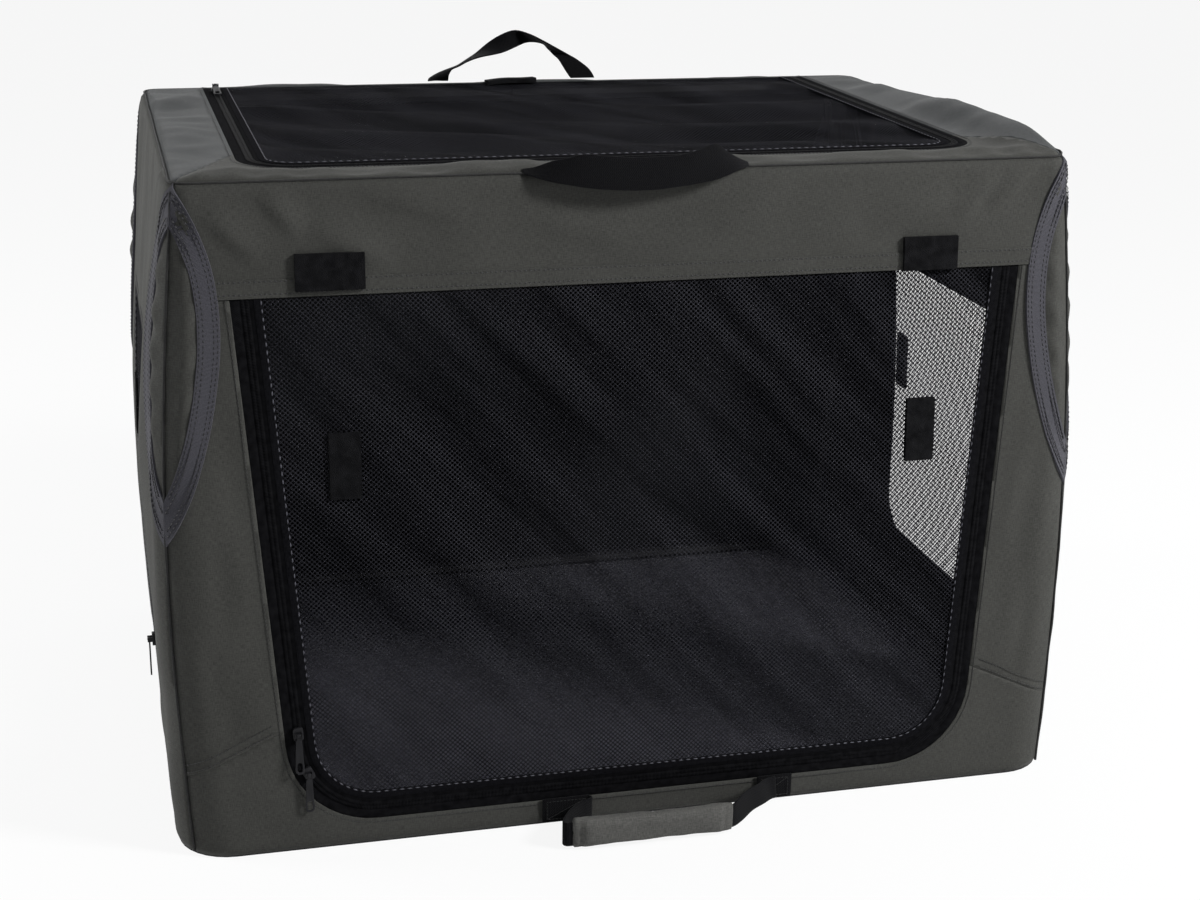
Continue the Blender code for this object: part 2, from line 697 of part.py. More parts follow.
def bracket(name, side, end, pivot_z, rising, loop_half, loop_z, form):
    """The corner bracket on a tube loop: a clamp round the tube, a plate, two ears and their rivet."""
    sign_x, sign_y = SIDES[side], ENDS[end]
    y = sign_y * POST_Y
    eye_to_plate = math.hypot(POST_STUB, TUBE_RADIUS) + 2 * TOUCH
    plate_near = pivot_z - rising * (eye_to_plate + TOUCH)
    plate_far = plate_near - rising * min(BRACKET_PLATE, abs(plate_near - loop_z) - TUBE_RADIUS - TOUCH)
    inner = TUBE_RADIUS + BRACKET_EAR_GAP
    outer = inner + BRACKET_EAR

    def box(word, x_low, x_high, y_low, y_high, z_low, z_high):
        spans = [
            sorted((sign_x * x_low, sign_x * x_high)),
            sorted((sign_y * y_low, sign_y * y_high)),
            sorted((z_low, z_high)),
        ]
        return block(f"{name}_{word}", [span[0] for span in spans], [span[1] for span in spans])

    x_in = PIVOT_X - BRACKET_HALF_WIDTH
    y_out = min(POST_Y + outer, loop_half[1])
    deck = box("plate", x_in, loop_half[0], POST_Y - outer, y_out, plate_near, plate_far)
    clamp_in = loop_half[0] - TUBE_RADIUS - BRACKET_EAR
    clamp = box(
        "clamp",
        clamp_in,
        loop_half[0],
        POST_Y - 2 * outer,
        POST_Y - TOUCH,
        plate_near,
        loop_z - rising * TUBE_RADIUS / 2,
    )
    parts = [clamp]
    for word, sign in (("near", -1), ("far", 1)):
        low, high = sorted((y + sign * inner, y + sign * outer))

        def at(s, n, across):
            return Vector((sign_x * (PIVOT_X + n), across, pivot_z + rising * s))

        foot = plate_near - pivot_z
        circles = [
            (0, 0, BRACKET_EYE_RADIUS),
            (rising * foot - BRACKET_EAR / 2, -BRACKET_EYE_RADIUS + TOUCH, TOUCH),
            (rising * foot - BRACKET_EAR / 2, BRACKET_EYE_RADIUS - TOUCH, TOUCH),
        ]
        parts.append(plate(f"{name}_{word}_ear", circles, at, low, high))
    reach = Vector((0, inner + BRACKET_EAR / 2, 0))
    pin = Vector((sign_x * PIVOT_X, y, pivot_z))
    parts.append(rod(f"{name}_rivet", pin - reach, pin + reach, RIVET_RADIUS))
    made = union(name, deck, parts, plastic)
    boolean(made, form, "DIFFERENCE")
    return made


for side, sign in SIDES.items():
    lower = pivot(f"{side}_lower_pivot", (sign * PIVOT_X, 0, LOWER_PIVOT_Z))
    knee = pivot(f"{side}_knee_pivot", (sign * KNEE_X, 0, KNEE_Z))
    for end, sign_y in ENDS.items():
        corner = f"{end}_{side}"
        y = sign_y * POST_Y
        base_loop = (base_loop_half, BASE_LOOP_HEIGHT, base_form)
        bracket(f"base_bracket_{corner}", side, end, LOWER_PIVOT_Z, 1, *base_loop)
        hang(post_tube(f"lower_post_{corner}", side, y, LOWER_PIVOT_Z, 1), lower)
        hang(knuckle(f"knee_fork_{corner}", side, y, LOWER_PIVOT_Z, 1, True), lower)
        hang(post_tube(f"upper_post_{corner}", side, y, UPPER_PIVOT_Z, -1), knee)
        hang(knuckle(f"knee_tongue_{corner}", side, y, UPPER_PIVOT_Z, -1, False), knee)
        roof_loop = (roof_loop_half, ROOF_LOOP_HEIGHT, roof_form)
        hang(bracket(f"roof_bracket_{corner}", side, end, UPPER_PIVOT_Z, -1, *roof_loop), roof)


# Zip sliders and pull tabs
def slider(name, place, out, run, across):
    """A zip slider on the surface at place: a body along run, and two lugs that hold a bar along across."""
    out, run, across = out.normalized(), run.normalized(), across.normalized()
    beside = out.cross(run)
    along = out.cross(across)

    def on_chain(u, v, height):
        return place + run * u + beside * v + out * height

    def on_bar(u, v, height):
        return place + across * u + along * v + out * height

    body_outline = rounded_rectangle(SLIDER_LENGTH / 2, SLIDER_WIDTH / 2, SLIDER_CORNER, 3)
    top = TOUCH + SLIDER_HEIGHT
    body = prism(f"{name}_body", body_outline, on_chain, TOUCH, top)
    lug_out = SLIDER_LUG_INSIDE + SLIDER_LUG
    parts = []
    for word, sign in (("near", -1), ("far", 1)):
        low, high = sorted((sign * SLIDER_LUG_INSIDE, sign * lug_out))
        half = SLIDER_LUG_HALF_LENGTH
        lug_outline = [(low, -half), (high, -half), (high, half), (low, half)]
        lug_top = SLIDER_BAR_LIFT + 2 * SLIDER_BAR_RADIUS
        parts.append(prism(f"{name}_{word}_lug", lug_outline, on_bar, top - SLIDER_LUG / 2, lug_top))
    reach = SLIDER_LUG_INSIDE + SLIDER_LUG / 2
    bar_ends = [on_bar(end, 0, SLIDER_BAR_LIFT) for end in (-reach, reach)]
    parts.append(rod(f"{name}_bar", *bar_ends, SLIDER_BAR_RADIUS))
    return union(name, body, parts, zip_metal)


def pull_tab(name, pin, hanging, across):
    """A pull tab on the bar at pin: an eye, a neck between the lugs and a plate that widens to a ring."""
    hanging, across = hanging.normalized(), across.normalized()
    face = across.cross(hanging)

    def at(u, v, height):
        return pin + hanging * u + across * v + face * height

    neck, shoulder, end = TAB_EYE_HALF, TAB_SHOULDER_WIDTH / 2, TAB_END_WIDTH / 2
    outline = rounded(
        [
            (0, neck, 0),
            (0, -neck, 0),
            (TAB_NECK, -neck, 0),
            (TAB_NECK, -shoulder, TAB_THICKNESS / 2),
            (TAB_LENGTH, -end, 0.9 * end),
            (TAB_LENGTH, end, 0.9 * end),
            (TAB_NECK, shoulder, TAB_THICKNESS / 2),
            (TAB_NECK, neck, 0),
        ],
        4,
    )
    tongue = prism(f"{name}_plate", outline, at, -TAB_THICKNESS / 2, TAB_THICKNESS / 2)
    eye = rod(f"{name}_eye", at(0, -neck, 0), at(0, neck, 0), TAB_EYE_RADIUS)
    tab = union(name, tongue, [eye], zip_metal)
    boolean(tab, rod(f"{name}_bore", at(0, -2 * neck, 0), at(0, 2 * neck, 0), TAB_EYE_BORE), "DIFFERENCE")
    rim = (TAB_END_WIDTH - TAB_RING_WIDTH) / 2
    middle = TAB_LENGTH - rim - TAB_RING_LENGTH / 2
    ring = rounded_rectangle(TAB_RING_LENGTH / 2, TAB_RING_WIDTH / 2, 0.48 * TAB_RING_WIDTH, 4)
    ring = [(u + middle, v) for u, v in ring]
    boolean(tab, prism(f"{name}_hole", ring, at, -TAB_THICKNESS, TAB_THICKNESS), "DIFFERENCE")
    return tab


def zip_pull(name, place, out, run, across, hanging, turns_about=None):
    """A slider and its tab. The slider's empty is at its own place, or at the centre that it turns about."""
    carrier = pivot(f"{name}_slider_place", turns_about or place)
    hang(slider(f"{name}_slider", place, out, run, across), carrier)
    pin = place + out.normalized() * SLIDER_BAR_LIFT
    hang(pull_tab(f"{name}_tab", pin, hanging, across), pivot(f"{name}_tab_pin", pin))


X, Y, Z = Vector((1, 0, 0)), Vector((0, 1, 0)), Vector((0, 0, 1))
chain = -ZIP_WIDTH / 2

# Front: the upper slider runs up the left side, and the lower one turns round the lower left corner
front_up = Vector((0, math.sin(WALL_LEAN), math.cos(WALL_LEAN)))
front_out = Vector((0, -math.cos(WALL_LEAN), math.sin(WALL_LEAN)))
front_slope = (FRONT_DOOR_HALF_TOP - FRONT_DOOR_HALF_BOTTOM) / (FRONT_DOOR_TOP - FRONT_DOOR_BOTTOM)
upper_x = -door_side(FRONT_DOOR, chain, UPPER_SLIDER_HEIGHT)
upper_place = Vector((upper_x, front_skin_y(UPPER_SLIDER_HEIGHT), UPPER_SLIDER_HEIGHT))
upper_hanging = Vector((0, -math.sin(UPPER_TAB_TILT), -math.cos(UPPER_TAB_TILT)))
zip_pull("front_upper", upper_place, front_out, front_up - front_slope * X, X, upper_hanging)

turn_radius = FRONT_DOOR_RADIUS + chain
turn_z = FRONT_DOOR_BOTTOM - chain + turn_radius
turn_x = turn_radius * math.hypot(1, front_slope) - door_side(FRONT_DOOR, chain, turn_z)
turn_centre = Vector((turn_x, front_skin_y(turn_z), turn_z))
lower_z = turn_z - turn_radius * math.sin(LOWER_SLIDER_ANGLE)
lower_x = turn_x - turn_radius * math.cos(LOWER_SLIDER_ANGLE)
lower_place = Vector((lower_x, front_skin_y(lower_z), lower_z))
lower_run = math.sin(LOWER_SLIDER_ANGLE) * X - math.cos(LOWER_SLIDER_ANGLE) * front_up
zip_pull("front_lower", lower_place, front_out, lower_run, X, -Z, turn_centre)

# Ends: one slider each, on the side nearer the front. Its run bows with the wall, about a far centre
end_slope = (END_DOOR_HALF_TOP - END_DOOR_HALF_BOTTOM) / (END_DOOR_TOP - END_DOOR_BOTTOM)
bulge_slope = END_BULGE * math.pi / HEIGHT * math.cos(math.pi * END_SLIDER_HEIGHT / HEIGHT)
wall_slope = (ROOF_WIDTH - BASE_WIDTH) / 2 / HEIGHT + bulge_slope
end_y = -door_side(END_DOOR, chain, END_SLIDER_HEIGHT)
for side, sign in SIDES.items():
    end_place = Vector((sign * half_width(END_SLIDER_HEIGHT), end_y, END_SLIDER_HEIGHT))
    end_out = Vector((sign, 0, -wall_slope))
    end_run = Vector((sign * wall_slope, -end_slope, 1))
    run_centre = end_place - end_out.normalized() * END_RUN_RADIUS
    zip_pull(side, end_place, end_out, end_run, Y, -Z, run_centre)

# Roof: one slider near the back of the left side, with its tab lying forward on the fabric
roof_place = Vector((-ROOF_DOOR_HALF - chain, ROOF_SLIDER_Y, HEIGHT))
roof_hanging = Vector((0, -math.cos(ROOF_TAB_DROOP), -math.sin(ROOF_TAB_DROOP)))
zip_pull("roof", roof_place, Z, Y, X, roof_hanging)

# Roof handles: the front one lies over the edge, and the back one stands up
def tapered_strap(name, path, across, end_width, width, finish):
    """A strap along a path, which widens from its ends to its middle."""
    stations = []
    for i, point in enumerate(path):
        ahead = path[min(i + 1, len(path) - 1)] - path[max(i - 1, 0)]
        share = math.sin(math.pi * i / (len(path) - 1)) ** 0.5
        half = (end_width + (width - end_width) * share) / 2
        stations.append((point, across * half, ahead.cross(across).normalized() * WEBBING_THICKNESS / 2))
    return sweep_strap(name, stations, finish)


front_root_z = HEIGHT + 2 * TOUCH + WEBBING_THICKNESS / 2
front_root = Vector((0, -half_depth(HEIGHT) - TOUCH - WEBBING_THICKNESS, front_root_z))
front_path = []
for step in range(FRONT_HANDLE_STEPS + 1):
    share = step / FRONT_HANDLE_STEPS
    reach = FRONT_HANDLE_REACH * math.sin(math.pi * share) ** 0.7
    front_path.append(front_root + Vector(((2 * share - 1) * FRONT_HANDLE_HALF, -reach, 0)))
front_handle = tapered_strap(
    "roof_front_handle", front_path, Z, FRONT_HANDLE_END_WIDTH, ROOF_WEBBING, webbing
)
hang(front_handle, pivot("roof_front_handle_pivot", front_root))

back_foot_y = half_depth(HEIGHT) - TOUCH - BACK_HANDLE_FOOT_WIDTH / 2
back_root = Vector((0, back_foot_y, HEIGHT + TOUCH))
back_corners = [
    (-BACK_HANDLE_HALF, 0),
    (-0.98 * BACK_HANDLE_HALF, 0.24 * BACK_HANDLE_RISE),
    (-0.56 * BACK_HANDLE_HALF, 0.57 * BACK_HANDLE_RISE),
    (-0.12 * BACK_HANDLE_HALF, 0.93 * BACK_HANDLE_RISE),
    (0.15 * BACK_HANDLE_HALF, BACK_HANDLE_RISE),
    (0.45 * BACK_HANDLE_HALF, 0.87 * BACK_HANDLE_RISE),
    (0.80 * BACK_HANDLE_HALF, 0.50 * BACK_HANDLE_RISE),
    (0.98 * BACK_HANDLE_HALF, 0.20 * BACK_HANDLE_RISE),
    (BACK_HANDLE_HALF, 0),
]
back_points = [back_root + Vector((x, BACK_HANDLE_TILT * z / BACK_HANDLE_RISE, z)) for x, z in back_corners]
back_path = smooth_path(back_points, 3)
back_handle = tapered_strap(
    "roof_back_handle", back_path, Y, BACK_HANDLE_FOOT_WIDTH, ROOF_WEBBING, webbing
)
hang(back_handle, pivot("roof_back_handle_pivot", back_root + Y * BACK_HANDLE_FOOT_WIDTH / 2))

# Carry handle low on the front: two ends sewn to the wall, a strap between them and a padded grip on it
carry_middle = CARRY_LIFT + CARRY_WEBBING / 2
end_offset = TOUCH + WEBBING_THICKNESS / 2
for word, (start, end) in (("left", CARRY_LEFT_END), ("right", CARRY_RIGHT_END)):
    on_wall = Vector((0, front_skin_y(carry_middle), carry_middle)) + front_out * end_offset
    end_path = [on_wall + X * start, on_wall + X * end]
    strap_along(f"carry_end_{word}", end_path, front_up, CARRY_WEBBING, webbing)

grip_y = -half_depth(0) - GRIP_REACH
root_y = -half_depth(0) - TOUCH - WEBBING_THICKNESS
carry_route = [
    (CARRY_LEFT_END[1] + CARRY_END_GAP, root_y, 0),
    (CARRY_LEFT_END[1] + 0.75 * CARRY_END_GAP, root_y - 0.010, 0.004),
    (GRIP_LEFT - 0.014, grip_y, 0.005),
    (GRIP_RIGHT + 0.007, grip_y, 0.010),
    (CARRY_RIGHT_END[0] - 0.008, root_y, 0.004),
    (CARRY_RIGHT_END[0] - CARRY_END_GAP, root_y, 0),
]
carry_path = [Vector((x, y, carry_middle)) for x, y in rounded(carry_route)]
carry_pivot = pivot("carry_handle_pivot", (0, -half_depth(0) - TOUCH, CARRY_LIFT + CARRY_WEBBING))
hang(strap_along("carry_strap", carry_path, Z, CARRY_WEBBING, webbing), carry_pivot)


def across_grip(u, v, height):
    return (height, grip_y + u, carry_middle + v)


grip_outline = rounded_rectangle(GRIP_THICKNESS / 2, GRIP_HEIGHT / 2, GRIP_CORNER, 4)
carry_grip = prism("carry_grip", grip_outline, across_grip, GRIP_LEFT, GRIP_RIGHT, grip_cloth)
slot_half = CARRY_WEBBING / 2 + TOUCH
slot_outline = rectangle(WEBBING_THICKNESS / 2 + TOUCH, -slot_half, slot_half)
slot = prism("grip_slot", slot_outline, across_grip, GRIP_LEFT - FABRIC, GRIP_RIGHT + FABRIC)
boolean(carry_grip, slot, "DIFFERENCE")
hang(carry_grip, carry_pivot)
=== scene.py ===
"""Folding pet crate: its looks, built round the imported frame. Metres, +Z up, the front is -Y."""

import math

import bmesh
import bpy
from mathutils import Matrix, Vector, kdtree, noise


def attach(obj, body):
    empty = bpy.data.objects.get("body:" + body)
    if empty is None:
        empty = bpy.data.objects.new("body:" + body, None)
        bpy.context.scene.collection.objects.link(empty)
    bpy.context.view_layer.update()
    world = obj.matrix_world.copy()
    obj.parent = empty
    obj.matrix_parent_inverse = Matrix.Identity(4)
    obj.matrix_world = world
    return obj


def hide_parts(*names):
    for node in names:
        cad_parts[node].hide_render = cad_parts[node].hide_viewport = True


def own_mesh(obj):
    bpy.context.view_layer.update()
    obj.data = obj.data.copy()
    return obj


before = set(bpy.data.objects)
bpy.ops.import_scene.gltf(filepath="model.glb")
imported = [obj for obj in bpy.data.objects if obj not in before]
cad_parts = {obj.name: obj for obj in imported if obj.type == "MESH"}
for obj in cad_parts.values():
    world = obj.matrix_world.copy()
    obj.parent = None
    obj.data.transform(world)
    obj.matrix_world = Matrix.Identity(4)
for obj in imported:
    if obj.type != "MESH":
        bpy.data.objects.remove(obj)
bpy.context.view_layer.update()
scene = bpy.context.scene


# Studio: the camera stands where the photograph was taken from. A pale floor and soft lamps stand round the
# crate, and the paper behind it is plain white.
def node(tree, kind, sockets=None, **settings):
    """Adds a shader node. A socket gets a number, a colour or another node's output."""
    made = tree.nodes.new(f"ShaderNode{kind}")
    for setting, value in settings.items():
        setattr(made, setting, value)
    for socket, value in (sockets or {}).items():
        if isinstance(value, bpy.types.NodeSocket):
            tree.links.new(value, made.inputs[socket])
        else:
            made.inputs[socket].default_value = value
    return made


def calc(tree, operation, *values):
    """The result of a Math node on numbers and other nodes' outputs."""
    return node(tree, "Math", dict(enumerate(values)), operation=operation).outputs[0]


def seen_directly(tree):
    """1 for what the camera sees straight, in a reflection or through something clear, and 0 for light."""
    path = node(tree, "LightPath").outputs
    straight = calc(tree, "MAXIMUM", path["Is Camera Ray"], path["Is Glossy Ray"])
    return calc(tree, "MAXIMUM", straight, path["Is Transmission Ray"])


def new_finish(name, sockets):
    """A new material and its node tree. Its shader's sockets get these numbers and colours."""
    made = bpy.data.materials.new(name)
    made.use_nodes = True
    for socket, value in sockets.items():
        made.node_tree.nodes["Principled BSDF"].inputs[socket].default_value = value
    return made, made.node_tree


camera_data = bpy.data.cameras.new("camera")
camera_data.sensor_width = 36
camera_data.lens = 60.285
camera_data.clip_start = 0.05
camera_data.clip_end = 100
camera = bpy.data.objects.new("camera", camera_data)
camera.location = (-0.4561, -1.9154, 0.8916)
camera.rotation_euler = [math.radians(angle) for angle in (72.056, -0.786, -14.198)]
scene.collection.objects.link(camera)
scene.camera = camera
scene.view_settings.view_transform = "Standard"

world = bpy.data.worlds.new("studio")
scene.world = world
world.use_nodes = True
tree = world.node_tree
tree.nodes.clear()
light = node(tree, "Background", {"Color": (0.93, 0.96, 1.0, 1), "Strength": 0.24})
paper = node(tree, "Background", {"Color": (1, 1, 1, 1), "Strength": 1.0})
sky = node(tree, "MixShader", {0: seen_directly(tree), 1: light.outputs[0], 2: paper.outputs[0]})
node(tree, "OutputWorld", {"Surface": sky.outputs[0]})

LAMPS = (
    ("key", (2.2, -1.6, 2.0), 0.6, 112),
    ("left", (-2.6, 0.7, 1.1), 0.8, 40),
    ("top", (0.2, 0.9, 2.6), 1.4, 8),
)
for name, place, size, power in LAMPS:
    lamp_data = bpy.data.lights.new(name, "AREA")
    lamp_data.shape = "SQUARE"
    lamp_data.size = size
    lamp_data.energy = power
    lamp = bpy.data.objects.new(name, lamp_data)
    lamp.location = place
    lamp.rotation_euler = (Vector(place) - Vector((0, 0, 0.3))).to_track_quat("Z", "Y").to_euler()
    scene.collection.objects.link(lamp)

FLOOR_GAP = 0.0006
bm = bmesh.new()
bmesh.ops.create_grid(bm, x_segments=1, y_segments=1, size=25)
bmesh.ops.translate(bm, verts=bm.verts, vec=(0, 0, -FLOOR_GAP))
floor_mesh = bpy.data.meshes.new("studio_floor")
bm.to_mesh(floor_mesh)
bm.free()
studio_floor = bpy.data.objects.new("studio_floor", floor_mesh)
scene.collection.objects.link(studio_floor)
pale, tree = new_finish(
    "pale_floor", {"Base Color": (0.88, 0.88, 0.88, 1), "Roughness": 0.9, "Specular IOR Level": 0.0}
)
white = node(tree, "Emission", {"Color": (1, 1, 1, 1), "Strength": 1.0})
share = calc(tree, "MULTIPLY", seen_directly(tree), 0.90)
lit = tree.nodes["Principled BSDF"].outputs[0]
mixed = node(tree, "MixShader", {0: share, 1: lit, 2: white.outputs[0]})
tree.links.new(mixed.outputs[0], tree.nodes["Material Output"].inputs["Surface"])
floor_mesh.materials.append(pale)


# Steel frame: round tube, bent into the base and roof loops and cut into eight post tubes, then powder-coated
# black. The coat has a fine orange peel, and its gloss varies a little.
def tint(tree, factor, dark, light, low=0.3, high=0.7):
    """Colours the shader between dark and light, by a factor from low to high."""
    made = node(tree, "ValToRGB", {"Fac": factor})
    first, last = made.color_ramp.elements
    first.position, first.color = low, (*dark, 1)
    last.position, last.color = high, (*light, 1)
    tree.links.new(made.outputs["Color"], tree.nodes["Principled BSDF"].inputs["Base Color"])


def emboss(tree, height, strength, distance):
    """Raises the surface by a pattern's height."""
    made = node(tree, "Bump", {"Height": height, "Strength": strength, "Distance": distance})
    tree.links.new(made.outputs[0], tree.nodes["Principled BSDF"].inputs["Normal"])


def cloud(tree, spots, scale, detail=2.0):
    """Soft noise at a pattern's coordinates."""
    return node(tree, "TexNoise", {"Vector": spots, "Scale": scale, "Detail": detail}).outputs["Fac"]


def hard_finish(name, dark, light, roughness, grain, grain_depth):
    """Paint or moulded plastic: an uneven tone, a fine grain and a roughness that varies a little."""
    made, tree = new_finish(name, {"Specular IOR Level": 0.14})
    spots = node(tree, "TexCoord").outputs["Object"]
    cloudy = cloud(tree, spots, 38.0, 5.0)
    tint(tree, cloudy, dark, light)
    worn = node(tree, "MapRange", {"Value": cloudy, 1: 0.3, 2: 0.7, 3: roughness + 0.08, 4: roughness - 0.08})
    tree.links.new(worn.outputs[0], tree.nodes["Principled BSDF"].inputs["Roughness"])
    emboss(tree, cloud(tree, spots, grain), 0.35, grain_depth)
    return made


def refinish(names, finish):
    """Gives CAD nodes this finish."""
    for name in names:
        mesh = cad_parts[name].data
        mesh.materials.clear()
        mesh.materials.append(finish)


CORNERS = [f"{end}_{side}" for end in ("front", "back") for side in ("left", "right")]
powder_coat = hard_finish("powder_coat", (0.012, 0.012, 0.013), (0.024, 0.024, 0.026), 0.42, 900, 0.00015)
posts = [f"{level}_post_{corner}" for level in ("lower", "upper") for corner in CORNERS]
refinish(["base_frame", "roof_frame", *posts], powder_coat)


# Brackets and knuckles: moulded black nylon, with a fine spark-eroded grain. The brackets clasp the two loops,
# and the knuckles are pushed into the ends of the post tubes.
nylon = hard_finish("black_nylon", (0.014, 0.014, 0.015), (0.022, 0.022, 0.024), 0.52, 2600, 0.00008)
knuckles = [f"{word}_{corner}" for word in ("knee_fork", "knee_tongue") for corner in CORNERS]
brackets = [f"{level}_bracket_{corner}" for level in ("base", "roof") for corner in CORNERS]
refinish([*knuckles, *brackets], nylon)


# Floor: a stiff board in black cloth, sewn in under the base loop. It is the crate's underside, and every
# cloth piece is laid on the cabin's sides as they are given here.
HEIGHT = 0.595


def half_width(z):
    """Half of the cabin's outside width at height z: the knees bow the ends outwards."""
    return 0.418 - 0.020 * z / HEIGHT + 0.015 * math.sin(math.pi * z / HEIGHT)


def half_depth(z):
    """Half of the cabin's outside depth at height z."""
    return 0.315 - 0.035 * z / HEIGHT


def corner_radius(z):
    """Plan radius of the cabin's upright corners at height z."""
    return 0.050 - 0.032 * z / HEIGHT


SIDES = {"left": -1, "right": 1}
ENDS = {"front": -1, "back": 1}
ROLL = 0.011
ZIP_KEPT_FLAT, BILLOW_HEIGHT = 0.184, 0.16
BILLOWS = {"left": (-0.235, 0.42, 0.0125, 0.07), "right": (-0.235, 0.22, 0.0060, 0.08)}


def eased(share):
    """From 0 to 1 as a share does, with a slow start and end."""
    share = min(max(share, 0), 1)
    return share * share * (3 - 2 * share)


def slack(y):
    """How far the roof's slack cloth stands up over the right end of the roof loop."""
    return 0.016 * eased((y + 0.290) / 0.11) * eased((0.30 - y) / 0.45)


def on_roof(u, v, out):
    """A point on the roof. Its last 11 mm turn down round the roof tube."""
    turn = corner_radius(HEIGHT)
    past = Vector((abs(u) - half_width(HEIGHT) + turn, abs(v) - half_depth(HEIGHT) + turn))
    if past.x > 0 and past.y > 0:
        from_edge, way = turn - past.length, past.normalized()
    else:
        from_edge, way = turn - max(past), Vector((1, 0) if past.x > past.y else (0, 1))
    share = min(max(1 - from_edge / ROLL, 0), 1)
    angle = share * math.pi / 4
    shift = ROLL * (math.sin(angle) - share) + out * math.sin(angle)
    rise = out * math.cos(angle) - ROLL * (1 - math.cos(angle)) + slack(v) * eased((u - 0.340) / 0.045)
    return Vector((u + shift * math.copysign(way.x, u), v + shift * math.copysign(way.y, v), HEIGHT + rise))


def on(side, u, v, out=0.0):
    """A point out from a side of the cabin. u and v are x and z, y and z, or x and y on the roof."""
    if side == "roof":
        return on_roof(u, v, out)
    if side == "floor":
        return Vector((u, v, -out))
    near, far = (half_width, half_depth) if side in ENDS else (half_depth, half_width)
    radius = corner_radius(v)
    past = min(max(abs(u) - (near(v) - radius), 0), 0.98 * radius)
    rise = math.sqrt(radius**2 - past**2)
    if side in BILLOWS:
        middle_u, middle_v, most, reach = BILLOWS[side]
        spread = math.exp(-(((u - middle_u) / reach) ** 2) - ((v - middle_v) / BILLOW_HEIGHT) ** 2)
        to_corner = min(max((near(v) - radius - abs(u)) / 0.05, 0), 1)
        out += most * spread * eased((abs(u) - ZIP_KEPT_FLAT) / 0.034) * to_corner
    lift = slack(u) * eased((v - 0.50) / 0.095) if side == "right" else 0.0
    angle = min(max(v - HEIGHT + ROLL, 0) / ROLL, 1) * math.pi / 4
    if angle:
        v += ROLL * (math.sin(angle) - angle * 4 / math.pi) + out * math.sin(angle)
    out = out * math.cos(angle) - ROLL * (1 - math.cos(angle))
    depth = far(v) - radius + rise + out * rise / radius
    along = u + out * math.copysign(past / radius, u)
    if side in ENDS:
        return Vector((along, ENDS[side] * depth, v))
    return Vector((SIDES[side] * depth, along, v + lift))


def rounded(corners, steps=8):
    """The closed outline of (u, v, radius) corners, with its corners rounded."""
    outline = []
    for i, (u, v, radius) in enumerate(corners):
        here = Vector((u, v))
        if radius <= 0:
            outline.append(here)
            continue
        back = (Vector(corners[i - 1][:2]) - here).normalized()
        ahead = (Vector(corners[(i + 1) % len(corners)][:2]) - here).normalized()
        half = back.angle(ahead) / 2
        centre = here + (back + ahead).normalized() * radius / math.sin(half)
        start = here + back * radius / math.tan(half) - centre
        end = here + ahead * radius / math.tan(half) - centre
        first = math.atan2(start.y, start.x)
        sweep = (math.atan2(end.y, end.x) - first + math.pi) % (2 * math.pi) - math.pi
        for step in range(steps + 1):
            angle = first + sweep * step / steps
            outline.append(centre + radius * Vector((math.cos(angle), math.sin(angle))))
    return outline


def inside(spot, outline):
    """Whether a flat point lies inside a closed outline."""
    crossings = 0
    for start, end in zip(outline, outline[1:] + outline[:1]):
        if (start.y > spot.y) != (end.y > spot.y):
            crossings += spot.x < start.x + (spot.y - start.y) * (end.x - start.x) / (end.y - start.y)
    return crossings % 2 == 1


def trim(bm, outline, keep_inside, cell):
    """Cuts a flat grid along a closed outline, and keeps what is inside or outside it."""
    for start, end in zip(outline, outline[1:] + outline[:1]):
        along = end - start
        if along.length < 1e-5:
            continue
        middle, reach = (start + end) / 2, along.length / 2 + 1.5 * cell
        near = [face for face in bm.faces if (face.calc_center_bounds().xy - middle).length < reach]
        geometry = {*near, *(e for f in near for e in f.edges), *(v for f in near for v in f.verts)}
        bmesh.ops.bisect_plane(
            bm, geom=list(geometry), dist=1e-6, plane_co=(*start, 0), plane_no=(along.y, -along.x, 0)
        )
    lost = [face for face in bm.faces if inside(face.calc_center_median().xy, outline) != keep_inside]
    bmesh.ops.delete(bm, geom=lost, context="FACES")


def finished(name, bm, finish, centre=None):
    """The bmesh as a smooth object. With a centre, an open sheet is turned to face away from it."""
    if centre is None:
        bmesh.ops.recalc_face_normals(bm, faces=bm.faces)
    else:
        bm.normal_update()
        facing = sum(f.normal.dot(f.calc_center_median() - Vector(centre)) * f.calc_area() for f in bm.faces)
        if facing < 0:
            bmesh.ops.reverse_faces(bm, faces=bm.faces)
    mesh = bpy.data.meshes.new(name)
    bm.to_mesh(mesh)
    bm.free()
    mesh.shade_smooth()
    mesh.materials.append(finish)
    made = bpy.data.objects.new(name, mesh)
    scene.collection.objects.link(made)
    return made


def thicken(piece, thickness, offset=-1):
    """Gives a sheet its thickness, inwards or to both sides."""
    wall = piece.modifiers.new("thickness", "SOLIDIFY")
    wall.thickness = thickness
    wall.offset = offset
    wall.use_even_offset = False


EDGE_FADE = 0.03


def run_along(path):
    """How far along a path each of its points lies."""
    run = [0.0]
    for a, b in zip(path, path[1:]):
        run.append(run[-1] + (b - a).length)
    return run


def write_uvs(bm, places):
    """Writes the places of vertices in a flat pattern as UVs."""
    uv = bm.loops.layers.uv.verify()
    for face in {face for vert in places for face in vert.link_faces}:
        for loop in face.loops:
            loop[uv].uv = places[loop.vert]


